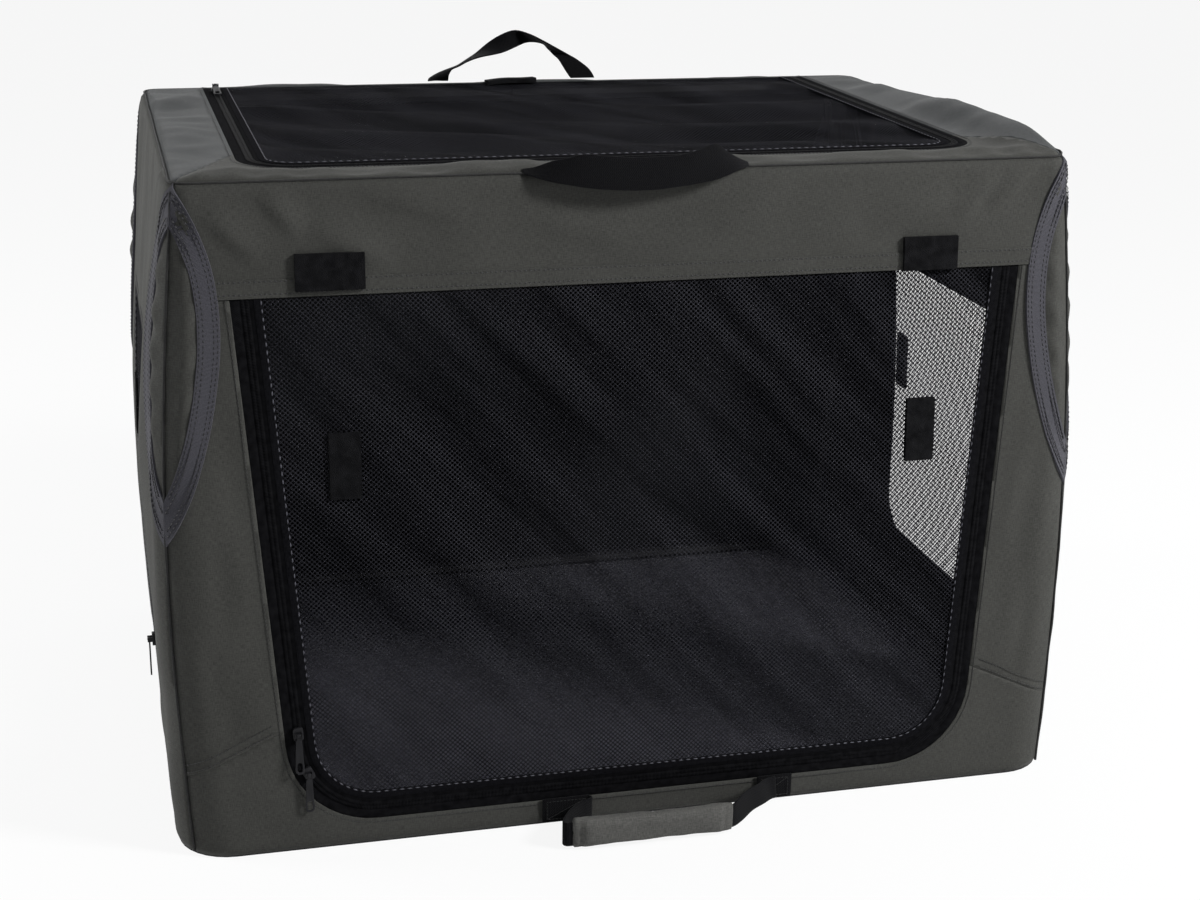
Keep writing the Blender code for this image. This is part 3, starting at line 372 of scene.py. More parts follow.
def cut_cloth(name, side, outline, finish, hole=None, cell=0.007, shape=None, thickness=0.0012, lining=None):
    """A sheet cut to an outline in its side's own plane and laid on the cabin, and its flat size and area."""
    us, vs = [spot.x for spot in outline], [spot.y for spot in outline]
    width, length = max(us) - min(us), max(vs) - min(vs)
    bm = bmesh.new()
    columns, rows = math.ceil(width / cell), math.ceil(length / cell)
    bmesh.ops.create_grid(bm, x_segments=columns, y_segments=rows, size=0.5)
    middle = ((max(us) + min(us)) / 2, (max(vs) + min(vs)) / 2, 0)
    bmesh.ops.scale(bm, vec=(width, length, 1), verts=bm.verts)
    bmesh.ops.translate(bm, vec=middle, verts=bm.verts)
    trim(bm, outline, True, cell)
    if hole:
        trim(bm, hole, False, cell)
    bmesh.ops.remove_doubles(bm, verts=bm.verts, dist=0.0002)
    area = sum(face.calc_area() for face in bm.faces)
    write_uvs(bm, {vert: vert.co.xy for vert in bm.verts})
    rim = [v for v in bm.verts if v.is_boundary]
    tree = kdtree.KDTree(len(rim))
    for i, vert in enumerate(rim):
        tree.insert(vert.co, i)
    tree.balance()
    away = {vert: tree.find(vert.co)[2] for vert in bm.verts}
    for vert in bm.verts:
        u, v = vert.co.xy
        free = min(away[vert] / EDGE_FADE, 1)
        vert.co = on(side, u, v, shape(u, v, free * (2 - free)) if shape else 0.0)
    piece = finished(name, bm, finish, (0, 0, HEIGHT / 2))
    thicken(piece, thickness)
    if lining:
        piece.data.materials.append(lining)
        piece.modifiers["thickness"].material_offset = 1
    return piece, (width, length), area


def fit(piece, body, replaced=(), folds=True):
    """Fixes a piece to its body. With folds, the piece is given its own copy of its mesh."""
    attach(piece, body)
    if replaced:
        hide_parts(*replaced)
    if folds:
        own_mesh(piece)
    return piece


def sew(cut, body, replaced=(), folds=True):
    """Fixes a cut sheet to its body."""
    piece, size, area = cut
    fit(piece, body, replaced, folds)


def woven(name, dark, light, thread, roughness=0.75, sheen=0.05, relief=0.5, gloss=0.12):
    """Plain-woven cloth: threads over and under, slubs along both of them and a cloudy tone."""
    sockets = {"Roughness": roughness, "Specular IOR Level": gloss}
    made, tree = new_finish(name, {**sockets, "Sheen Weight": sheen, "Sheen Roughness": 0.4})
    spots = node(tree, "TexCoord").outputs["UV"]
    slubs = []
    for across in ((210, 1500, 1), (1500, 210, 1)):
        drawn = node(tree, "Mapping", {"Vector": spots, "Scale": across})
        slubs.append(cloud(tree, drawn.outputs[0], 1.0, 1.0))
    both = calc(tree, "ADD", *slubs)
    tone = calc(tree, "MULTIPLY_ADD", cloud(tree, spots, 11.0, 4.0), 0.16, calc(tree, "MULTIPLY", both, 0.42))
    tint(tree, tone, dark, light, 0.38, 0.62)
    turns = node(tree, "VectorMath", {0: spots, "Scale": math.pi / thread}, operation="SCALE")
    split = node(tree, "SeparateXYZ", {0: turns.outputs[0]}).outputs
    weave = calc(tree, "MULTIPLY", calc(tree, "SINE", split[0]), calc(tree, "SINE", split[1]))
    emboss(tree, calc(tree, "MULTIPLY_ADD", weave, 0.5, both), relief, thread / 3)
    return made


floor_cloth = woven("floor_cloth", (0.014, 0.014, 0.016), (0.026, 0.026, 0.028), 0.0006)
QUARTERS = ((1, 1), (-1, 1), (-1, -1), (1, -1))
floor_edge = rounded([(x * 0.4154, y * 0.3124, 0.0477) for x, y in QUARTERS])
floor_panel = cut_cloth("floor_panel_cloth", "floor", floor_edge, floor_cloth, cell=0.02, thickness=0.0035)
sew(floor_panel, "base", ["floor_panel"], folds=False)


# Mat: a fleece pad on the floor, a flat filling between two covers that are sewn round the edge. Its corners
# have curled up a little.
MAT_HALF = (0.3885, 0.2855)
MAT_BOTTOM, MAT_THICK = 0.0041, 0.0135


PRESSURE, FRAMES = 4.0, 20


def inflate(piece, voxel, cap):
    """Evens a closed form's mesh and swells it by no more than cap."""
    step = piece.modifiers.new("even mesh", "REMESH")
    step.mode = "VOXEL"
    step.voxel_size = voxel
    graph = bpy.context.evaluated_depsgraph_get()
    mesh = bpy.data.meshes.new_from_object(piece.evaluated_get(graph))
    piece.modifiers.clear()
    piece.data = mesh
    mesh.shade_smooth()
    start = [v.co.copy() for v in mesh.vertices]
    filling = piece.modifiers.new("filling", "CLOTH")
    filling.settings.use_pressure = True
    filling.settings.uniform_pressure_force = PRESSURE
    filling.settings.effector_weights.gravity = 0
    filling.point_cache.frame_start, filling.point_cache.frame_end = 1, FRAMES
    for moment in range(1, FRAMES + 1):
        scene.frame_set(moment)
    graph = bpy.context.evaluated_depsgraph_get()
    swollen = [v.co.copy() for v in piece.evaluated_get(graph).data.vertices]
    piece.modifiers.clear()
    for vertex, before, after in zip(mesh.vertices, start, swollen):
        move = after - before
        if move.length > cap:
            move *= cap / move.length
        vertex.co = before + move
    scene.frame_set(1)


fleece, tree = new_finish(
    "mat_fleece", {"Roughness": 0.95, "Specular IOR Level": 0.05, "Sheen Weight": 0.10, "Sheen Roughness": 0.5}
)
spots = node(tree, "TexCoord").outputs["Object"]
tufts = node(tree, "TexVoronoi", {"Vector": spots, "Scale": 420.0, "Randomness": 1.0}).outputs["Distance"]
pile, brushed = cloud(tree, spots, 1500.0, 3.0), cloud(tree, spots, 18.0, 5.0)
tone = calc(tree, "MULTIPLY_ADD", brushed, 0.5, calc(tree, "MULTIPLY", pile, 0.5))
tint(tree, tone, (0.024, 0.024, 0.034), (0.062, 0.062, 0.080))
emboss(tree, calc(tree, "ADD", tufts, pile), 0.8, 0.0012)

bm = bmesh.new()
corners = [(x * MAT_HALF[0], y * MAT_HALF[1], 0.030) for x, y in QUARTERS]
lower = bm.faces.new([bm.verts.new((*spot, MAT_BOTTOM + 0.002)) for spot in rounded(corners)])
upper = bmesh.ops.extrude_face_region(bm, geom=[lower])
bmesh.ops.translate(
    bm, verts=[v for v in upper["geom"] if isinstance(v, bmesh.types.BMVert)], vec=(0, 0, MAT_THICK - 0.004)
)
bmesh.ops.recalc_face_normals(bm, faces=bm.faces)
rims = [e for e in bm.edges if abs(e.verts[0].co.z - e.verts[1].co.z) < 1e-6]
bmesh.ops.bevel(bm, geom=rims, offset=0.003, segments=3, profile=0.5, affect="EDGES", material=-1)
mat = finished("floor_pad", bm, fleece)
inflate(mat, 0.006, 0.0025)
for vertex in mat.data.vertices:
    x, y, z = vertex.co
    lump = noise.noise(Vector((x * 9, y * 9, 0.0))) * 0.0012
    lump += noise.noise(Vector((x * 24, y * 24, 3.0))) * 0.0005
    corner = max(0.0, (abs(x) / MAT_HALF[0]) + (abs(y) / MAT_HALF[1]) - 1.68) / 0.32
    curl = 0.018 * corner**2 * (0.6 + 0.4 * math.copysign(1, x) * math.copysign(1, y))
    flat = min(max((z - MAT_BOTTOM) / MAT_THICK, 0), 1)
    vertex.co = (x * (1 - 0.010 * corner), y * (1 - 0.010 * corner), max(z + lump * flat, MAT_BOTTOM) + curl)
fit(mat, "base", ["floor_mat"], folds=False)


# Wall cloth: grey polyester, cut and sewn in panels and stretched over the frame. The front has a band over
# the door, a panel at each side and a lower panel, and a lens-shaped gusset lets each upright corner bow.
DOOR = {"front": (0.352, 0.316, 0.498, 0.024, 0.080), "end": (0.178, 0.170, 0.405, 0.068, 0.070)}
HEM = 0.498
SEAM_INNER, SEAM_OUTER = (0.308, 0.122), (0.412, 0.074)
LENS = ((0.0, 0.590), (0.0125, 0.570), (0.0245, 0.548), (0.0345, 0.523), (0.0408, 0.496), (0.044, 0.464))
LENS += ((0.043, 0.430), (0.0375, 0.388), (0.027, 0.346), (0.015, 0.316), (0.005, 0.297), (0.0, 0.289))
TAPE_WIDTH = 0.019
DEEPEST = -0.0018
WALL_FOOT = 0.0012


def seam(side, z):
    """Where a wall's cloth ends at the corner seam, at height z."""
    return (half_width(z) if side in ENDS else half_depth(z)) - 0.293 * corner_radius(z)


def smooth_line(points, per_span):
    """A smooth line through the points, flat or in space."""
    points = [Vector(p) for p in points]
    padded = [2 * points[0] - points[1], *points, 2 * points[-1] - points[-2]]
    line = []
    for a, b, c, d in zip(padded, padded[1:], padded[2:], padded[3:]):
        square, cube = 2 * a - 5 * b + 4 * c - d, 3 * b - a - 3 * c + d
        for step in range(per_span):
            t = step / per_span
            line.append((2 * b + (c - a) * t + square * t**2 + cube * t**3) / 2)
    return [*line, points[-1]]


def lens_line(side, inset=0.0, past_seam=False):
    """The line of a corner tape on a wall's positive side, from the roof down, moved towards the corner."""
    gaps = [(gap - inset, z) for gap, z in smooth_line(LENS, 4)]
    return [Vector((seam(side, z) - (gap if past_seam else max(gap, 0)), z)) for gap, z in gaps]


def mirrored(line, sign):
    """A flat line, or its mirror image where sign is -1."""
    return [Vector((sign * spot.x, spot.y)) for spot in line]


def door_outline(size, grow, top):
    """A door moved out by grow at its sides and bottom. Its lower corners are round."""
    half_top, half_bottom, hem, low, radius = size
    slope = (half_top - half_bottom) / (hem - low)

    def half(z):
        return half_bottom + grow * math.hypot(1, slope) + slope * (z - low)

    bottom = low - grow
    corners = [(half(top), top, 0), (-half(top), top, 0)]
    corners += [(-half(bottom), bottom, radius + grow), (half(bottom), bottom, radius + grow)]
    return rounded(corners, 10)


def crease(u, v, start, end, depth, width):
    """A fold from start to end that fades out at both: steep on its lower side and long on its upper side."""
    along = Vector(end) - Vector(start)
    from_start = Vector((u, v)) - Vector(start)
    share = min(max(from_start.dot(along) / along.length_squared, 0), 1)
    away = from_start - along * share
    wide = width * (2.4 if away.y > 0 else 0.8)
    return depth * math.sin(math.pi * share) * math.exp(-((away.length / wide) ** 2))


def ripples(u, v, seed, across, along, height):
    """Soft uneven ripples, with their crests along v where along is the smaller."""
    return height * noise.noise(Vector((u * across, v * along, seed)))


def band_shape(u, v, free):
    """How far the band stands out, in slanting folds and soft ripples."""
    folds = (
        ((-0.328, 0.588), (-0.292, 0.546), 0.0042, 0.006),
        ((-0.287, 0.552), (-0.214, 0.519), 0.0036, 0.007),
        ((-0.372, 0.568), (-0.326, 0.526), 0.0040, 0.006),
        ((-0.250, 0.584), (-0.150, 0.556), 0.0024, 0.009),
        ((-0.120, 0.560), (-0.010, 0.530), 0.0020, 0.010),
        ((0.140, 0.585), (0.060, 0.540), 0.0020, 0.010),
        ((0.370, 0.588), (0.318, 0.548), 0.0038, 0.006),
        ((0.330, 0.585), (0.290, 0.540), 0.0030, 0.007),
        ((0.285, 0.560), (0.205, 0.530), 0.0026, 0.008),
    )
    shape = sum(crease(u, v, *fold) for fold in folds)
    shape += ripples(u, v, 3.0, 6, 14, 0.0030) + ripples(u, v, 8.0, 16, 22, 0.0014)
    return 0.0006 + free * max(shape, DEEPEST)


def side_shape(u, v, free):
    slanting = u - math.copysign(0.25, u) * v
    shape = ripples(slanting, v, 5.0, 24, 5, 0.0042) + ripples(u, v, 9.0, 50, 12, 0.0013)
    return free * max(shape, DEEPEST)


def lower_shape(u, v, free):
    rolled = 0.0035 * max(0.0, 1 - v / 0.007) ** 2
    return free * (ripples(u, v, 6.0, 9, 20, 0.0024) + ripples(u, v, 2.0, 30, 30, 0.0008)) - rolled


def lens_shape(u, v, free):
    inner = max(0.0, free - 0.48) / 0.52
    wander = 2.4 * noise.noise(Vector((u * 9, v * 9, 4.0)))
    pucker = math.sin(v * 2 * math.pi / 0.036 + 110 * abs(u) + wander)
    return 0.0004 * free + 0.0044 * inner * (1 + pucker * (0.6 + ripples(u, v, 17.0, 20, 12, 0.6)))


grey_cloth = woven("grey_polyester", (0.033, 0.033, 0.0302), (0.056, 0.056, 0.0512), 0.00055)
# The inside face of walls and roof: a dark coating, made darker still to paint the shade inside the cabin.
coating_and_painted_shade = woven("dark_coating_and_painted_shade", (0.004, 0.004, 0.0045), (0.010, 0.010, 0.011), 0.00055, 0.6, 0.0, 0.3, 0.10)
front_hole = door_outline(DOOR["front"], 0.0, 0.7)
slope = (SEAM_INNER[1] - SEAM_OUTER[1]) / (SEAM_OUTER[0] - SEAM_INNER[0])


def wall_piece(name, side, outline, shape, hole=None, cell=0.007):
    """A piece of the grey wall cloth, lined inside with the dark coating, which is made darker still as painted
    shade for the cabin's inside.
    """
    return cut_cloth(name, side, outline, grey_cloth, hole, cell, shape, lining=coating_and_painted_shade)


def seam_line(side, low, high, steps=8):
    """The corner seam between two heights."""
    heights = [low + (high - low) * i / steps for i in range(steps + 1)]
    return [Vector((seam(side, z), z)) for z in heights]


tape_line = lens_line("front", TAPE_WIDTH / 2)
above = [spot for spot in tape_line if spot.y > HEM + 0.002]
below = [spot for spot in tape_line if spot.y < HEM - 0.002]
spans = zip(tape_line, tape_line[1:])
edge = next(a.lerp(b, (a.y - HEM) / (a.y - b.y)) for a, b in spans if a.y >= HEM > b.y)
right_half = [Vector((seam("front", HEIGHT), HEIGHT)), *above, edge]
band_outline = right_half + mirrored(right_half[::-1], -1)
band = wall_piece("front_band_cloth", "front", band_outline, band_shape, cell=0.005)
sew(band, "base", ["front_band"])

low_seam = SEAM_OUTER[1] - slope * (seam("front", SEAM_OUTER[1]) - SEAM_OUTER[0])
for side, sign in SIDES.items():
    outline = [edge, *below, *seam_line("front", below[-1].y - 0.004, low_seam)]
    outline += [Vector(SEAM_INNER), Vector((SEAM_INNER[0], HEM))]
    outline = mirrored(outline, sign)
    panel = wall_piece(f"front_{side}_cloth", "front", outline, side_shape, front_hole, 0.005)
    sew(panel, "base", [f"front_{side}_panel"])

outline = seam_line("front", low_seam, WALL_FOOT, 5)
outline += mirrored(seam_line("front", WALL_FOOT, low_seam, 5), -1)
outline += [Vector((-SEAM_INNER[0], SEAM_INNER[1])), Vector(SEAM_INNER)]
panel = wall_piece("front_lower_cloth", "front", outline, lower_shape, front_hole, 0.006)
sew(panel, "base", ["front_lower_panel"])


def long_wall_shape(u, v, free):
    """How far the back and end walls stand out. Low down they stand out over the base tube."""
    shape = ripples(u, v, 12.0, 7, 5, 0.0050) + ripples(u, v, 15.0, 26, 7, 0.0026)
    shape += ripples(u, v, 19.0, 60, 14, 0.0008)
    over_tube = 0.0026 * math.exp(-(((v - 0.05) / 0.04) ** 2))
    return lower_shape(u, v, 0.0) + free * max(shape, over_tube + DEEPEST)


for side, hole in (("back", None), ("left", DOOR["end"]), ("right", DOOR["end"])):
    line = lens_line(side, TAPE_WIDTH / 2)
    outline = [Vector((seam(side, HEIGHT), HEIGHT)), *line, *seam_line(side, line[-1].y - 0.01, WALL_FOOT)]
    outline += mirrored(outline[::-1], -1)
    hole = hole and door_outline(hole, 0.0, hole[2])
    name = "back_wall" if side == "back" else f"{side}_end_wall"
    panel = wall_piece(f"{name}_cloth", side, outline, long_wall_shape, hole)
    sew(panel, "base", [name])

for side in (*ENDS, *SIDES):
    for word, sign in (("a", -1), ("b", 1)):
        line = lens_line(side, TAPE_WIDTH / 2)
        outline = line + seam_line(side, line[-1].y, 0.588, 14)
        gusset = wall_piece(f"{side}_gusset_{word}", side, mirrored(outline, sign), lens_shape, cell=0.004)
        sew(gusset, "base")


# Roof cloth: a border of four pieces, sewn to the wall tops. The front one is of the walls' cloth, and its curved
# seams run round the front corners of the roof door. The others are of another, slightly glossier polyester, and
# their cool blue-grey tint is painted glare from the sky above.
ROOF_DOOR = (0.335, -0.235, 0.262, 0.050)


def roof_outline(grow):
    """The roof door moved out by grow at its front and sides."""
    half, front, back, radius = ROOF_DOOR
    half, front, radius = half + grow, front - grow, radius + grow
    return rounded([(half, back, 0), (-half, back, 0), (-half, front, radius), (half, front, radius)], 10)


def roof_shape(u, v, free):
    dips = ripples(u, v, 21.0, 9, 13, 0.0072) + ripples(u, v, 25.0, 26, 30, 0.0026)
    return free * max(dips, DEEPEST)


def roof_front_shape(u, v, free):
    """A ridge runs along the roof's zip, with gathers in front of it."""
    ridge = (0.0030 + ripples(u, 0.0, 41.0, 16, 0, 0.0030)) * math.exp(-(((v + 0.252) / 0.008) ** 2))
    gathers = 0.0016 * math.sin(u * 2 * math.pi / 0.043 + 3 * math.sin(u * 17))
    gathers *= math.exp(-(((v + 0.264) / 0.014) ** 2))
    return roof_shape(u, v, free) + free * (ridge + gathers)


# Cooler than the walls' grey: the blue in this tint is painted glare from the sky above the roof.
roof_polyester_and_painted_glare = woven("roof_polyester", (0.030, 0.032, 0.0325), (0.051, 0.0533, 0.0546), 0.00055, 0.65)
half_x, half_y, turn = half_width(HEIGHT), half_depth(HEIGHT), corner_radius(HEIGHT)
roof_edge = rounded([(x * half_x, y * half_y, turn) for x, y in QUARTERS], 5)
roof_hole = roof_outline(0.0)
door_half, door_back = ROOF_DOOR[0], ROOF_DOOR[2]
FRONT_SEAM = -0.2730
CURVED_SEAM = ((0.3905, -0.2726), (0.372, -0.236), (0.356, -0.200), (0.335, -0.160))
CURVED_SEAM = [Vector(spot) for spot in CURVED_SEAM]
front_run = [spot for spot in roof_edge if spot.y < FRONT_SEAM]
front_piece = [*front_run, *CURVED_SEAM, *mirrored(CURVED_SEAM[::-1], -1)]
right_run = [spot for spot in roof_edge if spot.x > door_half and spot.y > FRONT_SEAM]
right_run.sort(key=lambda spot: (spot.y, -spot.x))
right_piece = [*right_run, Vector((door_half, half_y)), *CURVED_SEAM[::-1]]
back_piece = [Vector((door_half, door_back)), Vector((-door_half, door_back))]
back_piece = [Vector((-door_half, half_y)), Vector((door_half, half_y)), *back_piece]
for name, outline, finish, shape, stands_for in (
    ("roof_front_cloth", front_piece, grey_cloth, roof_front_shape, ["roof_panel"]),
    ("roof_left_cloth", mirrored(right_piece, -1), roof_polyester_and_painted_glare, roof_shape, []),
    ("roof_right_cloth", right_piece, roof_polyester_and_painted_glare, roof_shape, []),
    ("roof_back_cloth", back_piece, roof_polyester_and_painted_glare, roof_shape, []),
):
    piece = cut_cloth(name, "roof", outline, finish, roof_hole, 0.006, shape, lining=coating_and_painted_shade)
    sew(piece, "roof", stands_for, folds=False)


# Zips: two woven tapes with a nylon coil between them, sewn under the cloth's edge on one side and to the
# door's binding on the other.
def even(path, step):
    """Points at even steps along a flat line."""
    runs = [(b - a).length for a, b in zip(path, path[1:])]
    count = max(2, round(sum(runs) / step))
    spots, i, gone = [], 0, 0.0
    for k in range(count + 1):
        target = sum(runs) * k / count
        while i < len(runs) - 1 and gone + runs[i] < target:
            gone += runs[i]
            i += 1
        spots.append(path[i].lerp(path[i + 1], min(max((target - gone) / max(runs[i], 1e-9), 0), 1)))
    return spots


def lay(bm, side, path, section, to_seam=False):
    """Lays a strip along a flat path on a side. section(i) is its outline there, as (across, out) pairs."""
    sections = [section(i) for i in range(len(path))]
    count, rows = len(path) - 1, len(sections[0]) - 1
    made = bmesh.ops.create_grid(bm, x_segments=count, y_segments=rows, size=0.5)["verts"]
    run, flat = run_along(path), {}
    for vert in made:
        i, j = round((vert.co.x + 0.5) * count), round((vert.co.y + 0.5) * rows)
        ahead = (path[min(i + 1, count)] - path[max(i - 1, 0)]).normalized()
        across, out = sections[i][j]
        spot = path[i] + across * Vector((-ahead.y, ahead.x))
        if to_seam:
            limit = seam(side, spot.y) + 0.0004
            spot.x = min(max(spot.x, -limit), limit)
        vert.co = on(side, spot.x, spot.y, out)
        flat[vert] = (run[i], across)
    write_uvs(bm, flat)


def closed(bm):
    """Joins the strips' long edges and closes their ends."""
    bmesh.ops.remove_doubles(bm, verts=bm.verts, dist=1e-6)
    bmesh.ops.dissolve_degenerate(bm, edges=bm.edges, dist=1e-6)
    bmesh.ops.holes_fill(bm, edges=[edge for edge in bm.edges if edge.is_boundary], sides=0)
    return bm


def flat_strip(half, top, foot=-0.0008):
    """The cross-section of a flat strip with worn edges."""
    flat_half = half - 0.0004
    ring = ((-half, foot), (-half, top / 2), (-flat_half, top), (flat_half, top), (half, top / 2), (half, foot))
    return [*ring, ring[0]]


CRISP = math.radians(35)


def in_millimetres(pairs):
    """A cross-section written in millimetres, in metres."""
    return [(across / 1000, out / 1000) for across, out in pairs]


ZIP_SECTION = in_millimetres(
    ((-12, -1.3), (-12, -0.5), (-11.5, -0.35), (-4.4, -0.35), (-3.9, -0.75), (-3.3, -0.4), (-2.8, 0.1))
    + ((-1.7, 0.28), (-0.7, 0.15), (0, -0.5), (0.7, 0.15), (1.7, 0.28))
    + ((2.8, 0.1), (3.3, -0.4), (3.9, -0.75), (4.4, -0.35))
    + ((11.5, -0.35), (12, -0.5), (12, -1.3), (-12, -1.3))
)
ZIP_HALF = 0.012
COIL_HALF, TEETH_PITCH, KNIT_ALONG, KNIT_ACROSS = 0.0031, 0.0013, 0.0022, 0.0011


def ridges(tree, along, pitch):
    """A sine wave along one coordinate."""
    return calc(tree, "SINE", calc(tree, "MULTIPLY", along, 2 * math.pi / pitch))


zip_finish, tree = new_finish("zip_tape", {"Specular IOR Level": 0.004})
spots = node(tree, "TexCoord").outputs["UV"]
split = node(tree, "SeparateXYZ", {0: spots}).outputs
coil = calc(tree, "LESS_THAN", calc(tree, "ABSOLUTE", split[1]), COIL_HALF)
knit = calc(tree, "MULTIPLY", ridges(tree, split[0], KNIT_ALONG), ridges(tree, split[1], KNIT_ACROSS))
teeth = ridges(tree, split[0], TEETH_PITCH)
relief = node(tree, "Mix", {0: coil, 2: knit, 3: teeth}, data_type="FLOAT").outputs[0]
tone = calc(tree, "MULTIPLY_ADD", relief, 0.18, cloud(tree, spots, 160.0, 4.0))
tint(tree, tone, (0.0030, 0.0030, 0.0034), (0.0090, 0.0090, 0.0100))
emboss(tree, relief, 0.7, 0.0003)
gloss = node(tree, "MapRange", {"Value": coil, 3: 0.72, 4: 0.38}).outputs[0]
tree.links.new(gloss, tree.nodes["Principled BSDF"].inputs["Roughness"])


def u_line(outline):
    """A door's outline as one line: down its first side, along the far edge and up the other side."""
    return outline[1:] + outline[:1]


def door_line(size, grow):
    """A door's edge moved out by grow, from one end of its top seam to the other."""
    return u_line(door_outline(size, grow, size[2] - 0.0005))


ZIPS = {
    "front": ("front", lambda grow: door_line(DOOR["front"], grow), "base"),
    "left": ("left", lambda grow: door_line(DOOR["end"], grow), "base"),
    "right": ("right", lambda grow: door_line(DOOR["end"], grow), "base"),
    "roof": ("roof", lambda grow: u_line(roof_outline(grow)), "roof"),
}
for name, (side, line, body) in ZIPS.items():
    bm = bmesh.new()
    lay(bm, side, even(line(-ZIP_HALF), 0.006), lambda i: ZIP_SECTION)
    tape = finished(f"{name}_zip_tape", closed(bm), zip_finish)
    fit(tape, body, [f"{name}_zip"], folds=body == "base")


# Zip sliders and pull tabs: die-cast zinc with a black enamel coat and a small radius on every edge. Those on
# the walls get meshes of their own.
enamel = hard_finish("black_enamel", (0.006, 0.006, 0.007), (0.016, 0.016, 0.018), 0.38, 1800, 0.00005)
for word in ("front_upper", "front_lower", *SIDES, "roof"):
    for part in ("slider", "tab"):
        node_name = f"{word}_{part}"
        bm = bmesh.new()
        bm.from_mesh(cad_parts[node_name].data)
        bmesh.ops.remove_doubles(bm, verts=bm.verts, dist=1e-6)
        bmesh.ops.dissolve_limit(bm, angle_limit=math.radians(1), verts=bm.verts, edges=bm.edges)
        sharp = [e for e in bm.edges if len(e.link_faces) == 2 and e.calc_face_angle() > math.radians(50)]
        bmesh.ops.bevel(bm, geom=sharp, offset=0.00022, segments=2, profile=0.5, affect="EDGES", material=-1)
        casting = finished(f"{node_name}_casting", bm, enamel)
        casting.data.set_sharp_from_angle(angle=CRISP)
        fit(casting, node_name, [node_name], folds=False)
        if word != "roof":
            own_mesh(casting)


# Doors: black warp-knitted net with staggered holes, in a folded black binding that is sewn along the net's
# edge with a pale thread.
NET_PITCH = (0.0044, 0.0042)
NET_HOLE = 0.00125
NET_SAG = 0.0130
NET_INSET, BINDING_INSET, STITCH_INSET = 0.020, 0.0228, 0.0254
net, tree = new_finish("black_net", {"Roughness": 0.6, "Specular IOR Level": 0.005})
spots = node(tree, "TexCoord").outputs["UV"]
per_metre = (1 / NET_PITCH[0], 1 / NET_PITCH[1], 1)
distances = []
for shift in (0.0, 0.5):
    cells = node(tree, "Mapping", {"Vector": spots, "Scale": per_metre, "Location": (shift, shift, 0)})
    part = node(tree, "VectorMath", {0: cells.outputs[0]}, operation="FRACTION")
    centred = node(tree, "VectorMath", {0: part.outputs[0], 1: (0.5, 0.5, 0)}, operation="SUBTRACT")
    sized = node(tree, "VectorMath", {0: centred.outputs[0], 1: (*NET_PITCH, 0)}, operation="MULTIPLY")
    distances.append(node(tree, "VectorMath", {0: sized.outputs[0]}, operation="LENGTH").outputs["Value"])
nearest = calc(tree, "MINIMUM", *distances)
solid = node(tree, "MapRange", {"Value": nearest, 1: NET_HOLE - 0.00012, 2: NET_HOLE + 0.00012, 3: 0.0, 4: 1.0})
tree.links.new(solid.outputs[0], tree.nodes["Principled BSDF"].inputs["Alpha"])
emboss(tree, nearest, 0.6, 0.4)
# The long slanting streaks in the net's tone are painted light streaks. The fine fuzz added to them is the net's
# own uneven tone.
turned = node(tree, "VectorRotate", {"Vector": spots, "Angle": 0.82}, rotation_type="Z_AXIS")
drawn = node(tree, "Mapping", {"Vector": turned.outputs[0], "Scale": (4, 34, 1)})
fuzzy = calc(tree, "MULTIPLY_ADD", cloud(tree, spots, 260.0, 3.0), 0.25, -0.14)
fuzz_and_painted_streaks = calc(tree, "ADD", cloud(tree, drawn.outputs[0], 1.0), fuzzy)
tint(tree, fuzz_and_painted_streaks, (0.0085, 0.0085, 0.0102), (0.0270, 0.0270, 0.0320))


def front_net_shape(u, v, free):
    return -0.0006 + free * (ripples(u, v, 31.0, 5, 5, 0.0040) + ripples(u, v, 33.0, 14, 10, 0.0012))


def roof_net_shape(u, v, free):
    """The roof's net sags in its middle, and slanting folds run over it."""
    slanting = v + 0.22 * u
    folds = 0.0034 * math.sin(slanting * 2 * math.pi / 0.13 + 1.8 * math.sin(u * 5))
    folds += ripples(u, v, 37.0, 5, 16, 0.0050)
    return -0.0006 - free * (NET_SAG * math.cos(u * 4.0) * math.cos((v - 0.013) * 5.4) - folds)


binding = woven("black_binding", (0.003, 0.003, 0.0035), (0.009, 0.009, 0.0105), 0.0009, 0.8, 0.0, 0.5, 0.004)
NET_TOP = {"front": 0.4974, "end": 0.4040}
for name, side, outline, shape in (
    ("front", "front", door_outline(DOOR["front"], -NET_INSET, NET_TOP["front"]), front_net_shape),
    ("left", "left", door_outline(DOOR["end"], -NET_INSET, NET_TOP["end"]), front_net_shape),
    ("right", "right", door_outline(DOOR["end"], -NET_INSET, NET_TOP["end"]), front_net_shape),
    ("roof", "roof", roof_outline(-NET_INSET), roof_net_shape),
):
    body = f"{name}_door"
    piece = cut_cloth(f"{name}_net", side, outline, net, None, 0.008, shape, 0.00015)
    sew(piece, body, [body], folds=side != "roof")
    bm = bmesh.new()
    edge_line = even(ZIPS[name][1](-BINDING_INSET), 0.006)
    lay(bm, side, edge_line, lambda i: flat_strip(0.0034, 0.0002, -0.0014))
    hem = finished(f"{name}_net_binding", closed(bm), binding)
    hem.data.set_sharp_from_angle(angle=CRISP)
    fit(hem, body, folds=side != "roof")


# Stitching: polyester thread, in beads that dip into the cloth between them. It is pale on the nets' bindings
# and grey on the cloth.
STITCH = 0.0034
STITCH_WIDTH = 0.00042
BEADS = ((0.10, -0.0004), (0.10, -0.0004), (0.9, 0.00036), (0.9, 0.00036))


def stitch(bm, side, path, lift=0.0, width=STITCH_WIDTH, to_seam=False, length=STITCH):
    """A row of stitches along a flat path. Its lift is a distance from the side, or gives one for a point."""
    spots = even(path, length / 4)

    def bead(i):
        share, top = BEADS[i % 4]
        half, top = width * share, top * width / STITCH_WIDTH
        foot = lift(spots[i]) if callable(lift) else lift
        return [(-half, foot), (0.0, foot + top), (half, foot), (0.0, foot - 0.0004), (-half, foot)]

    lay(bm, side, spots, bead, to_seam)


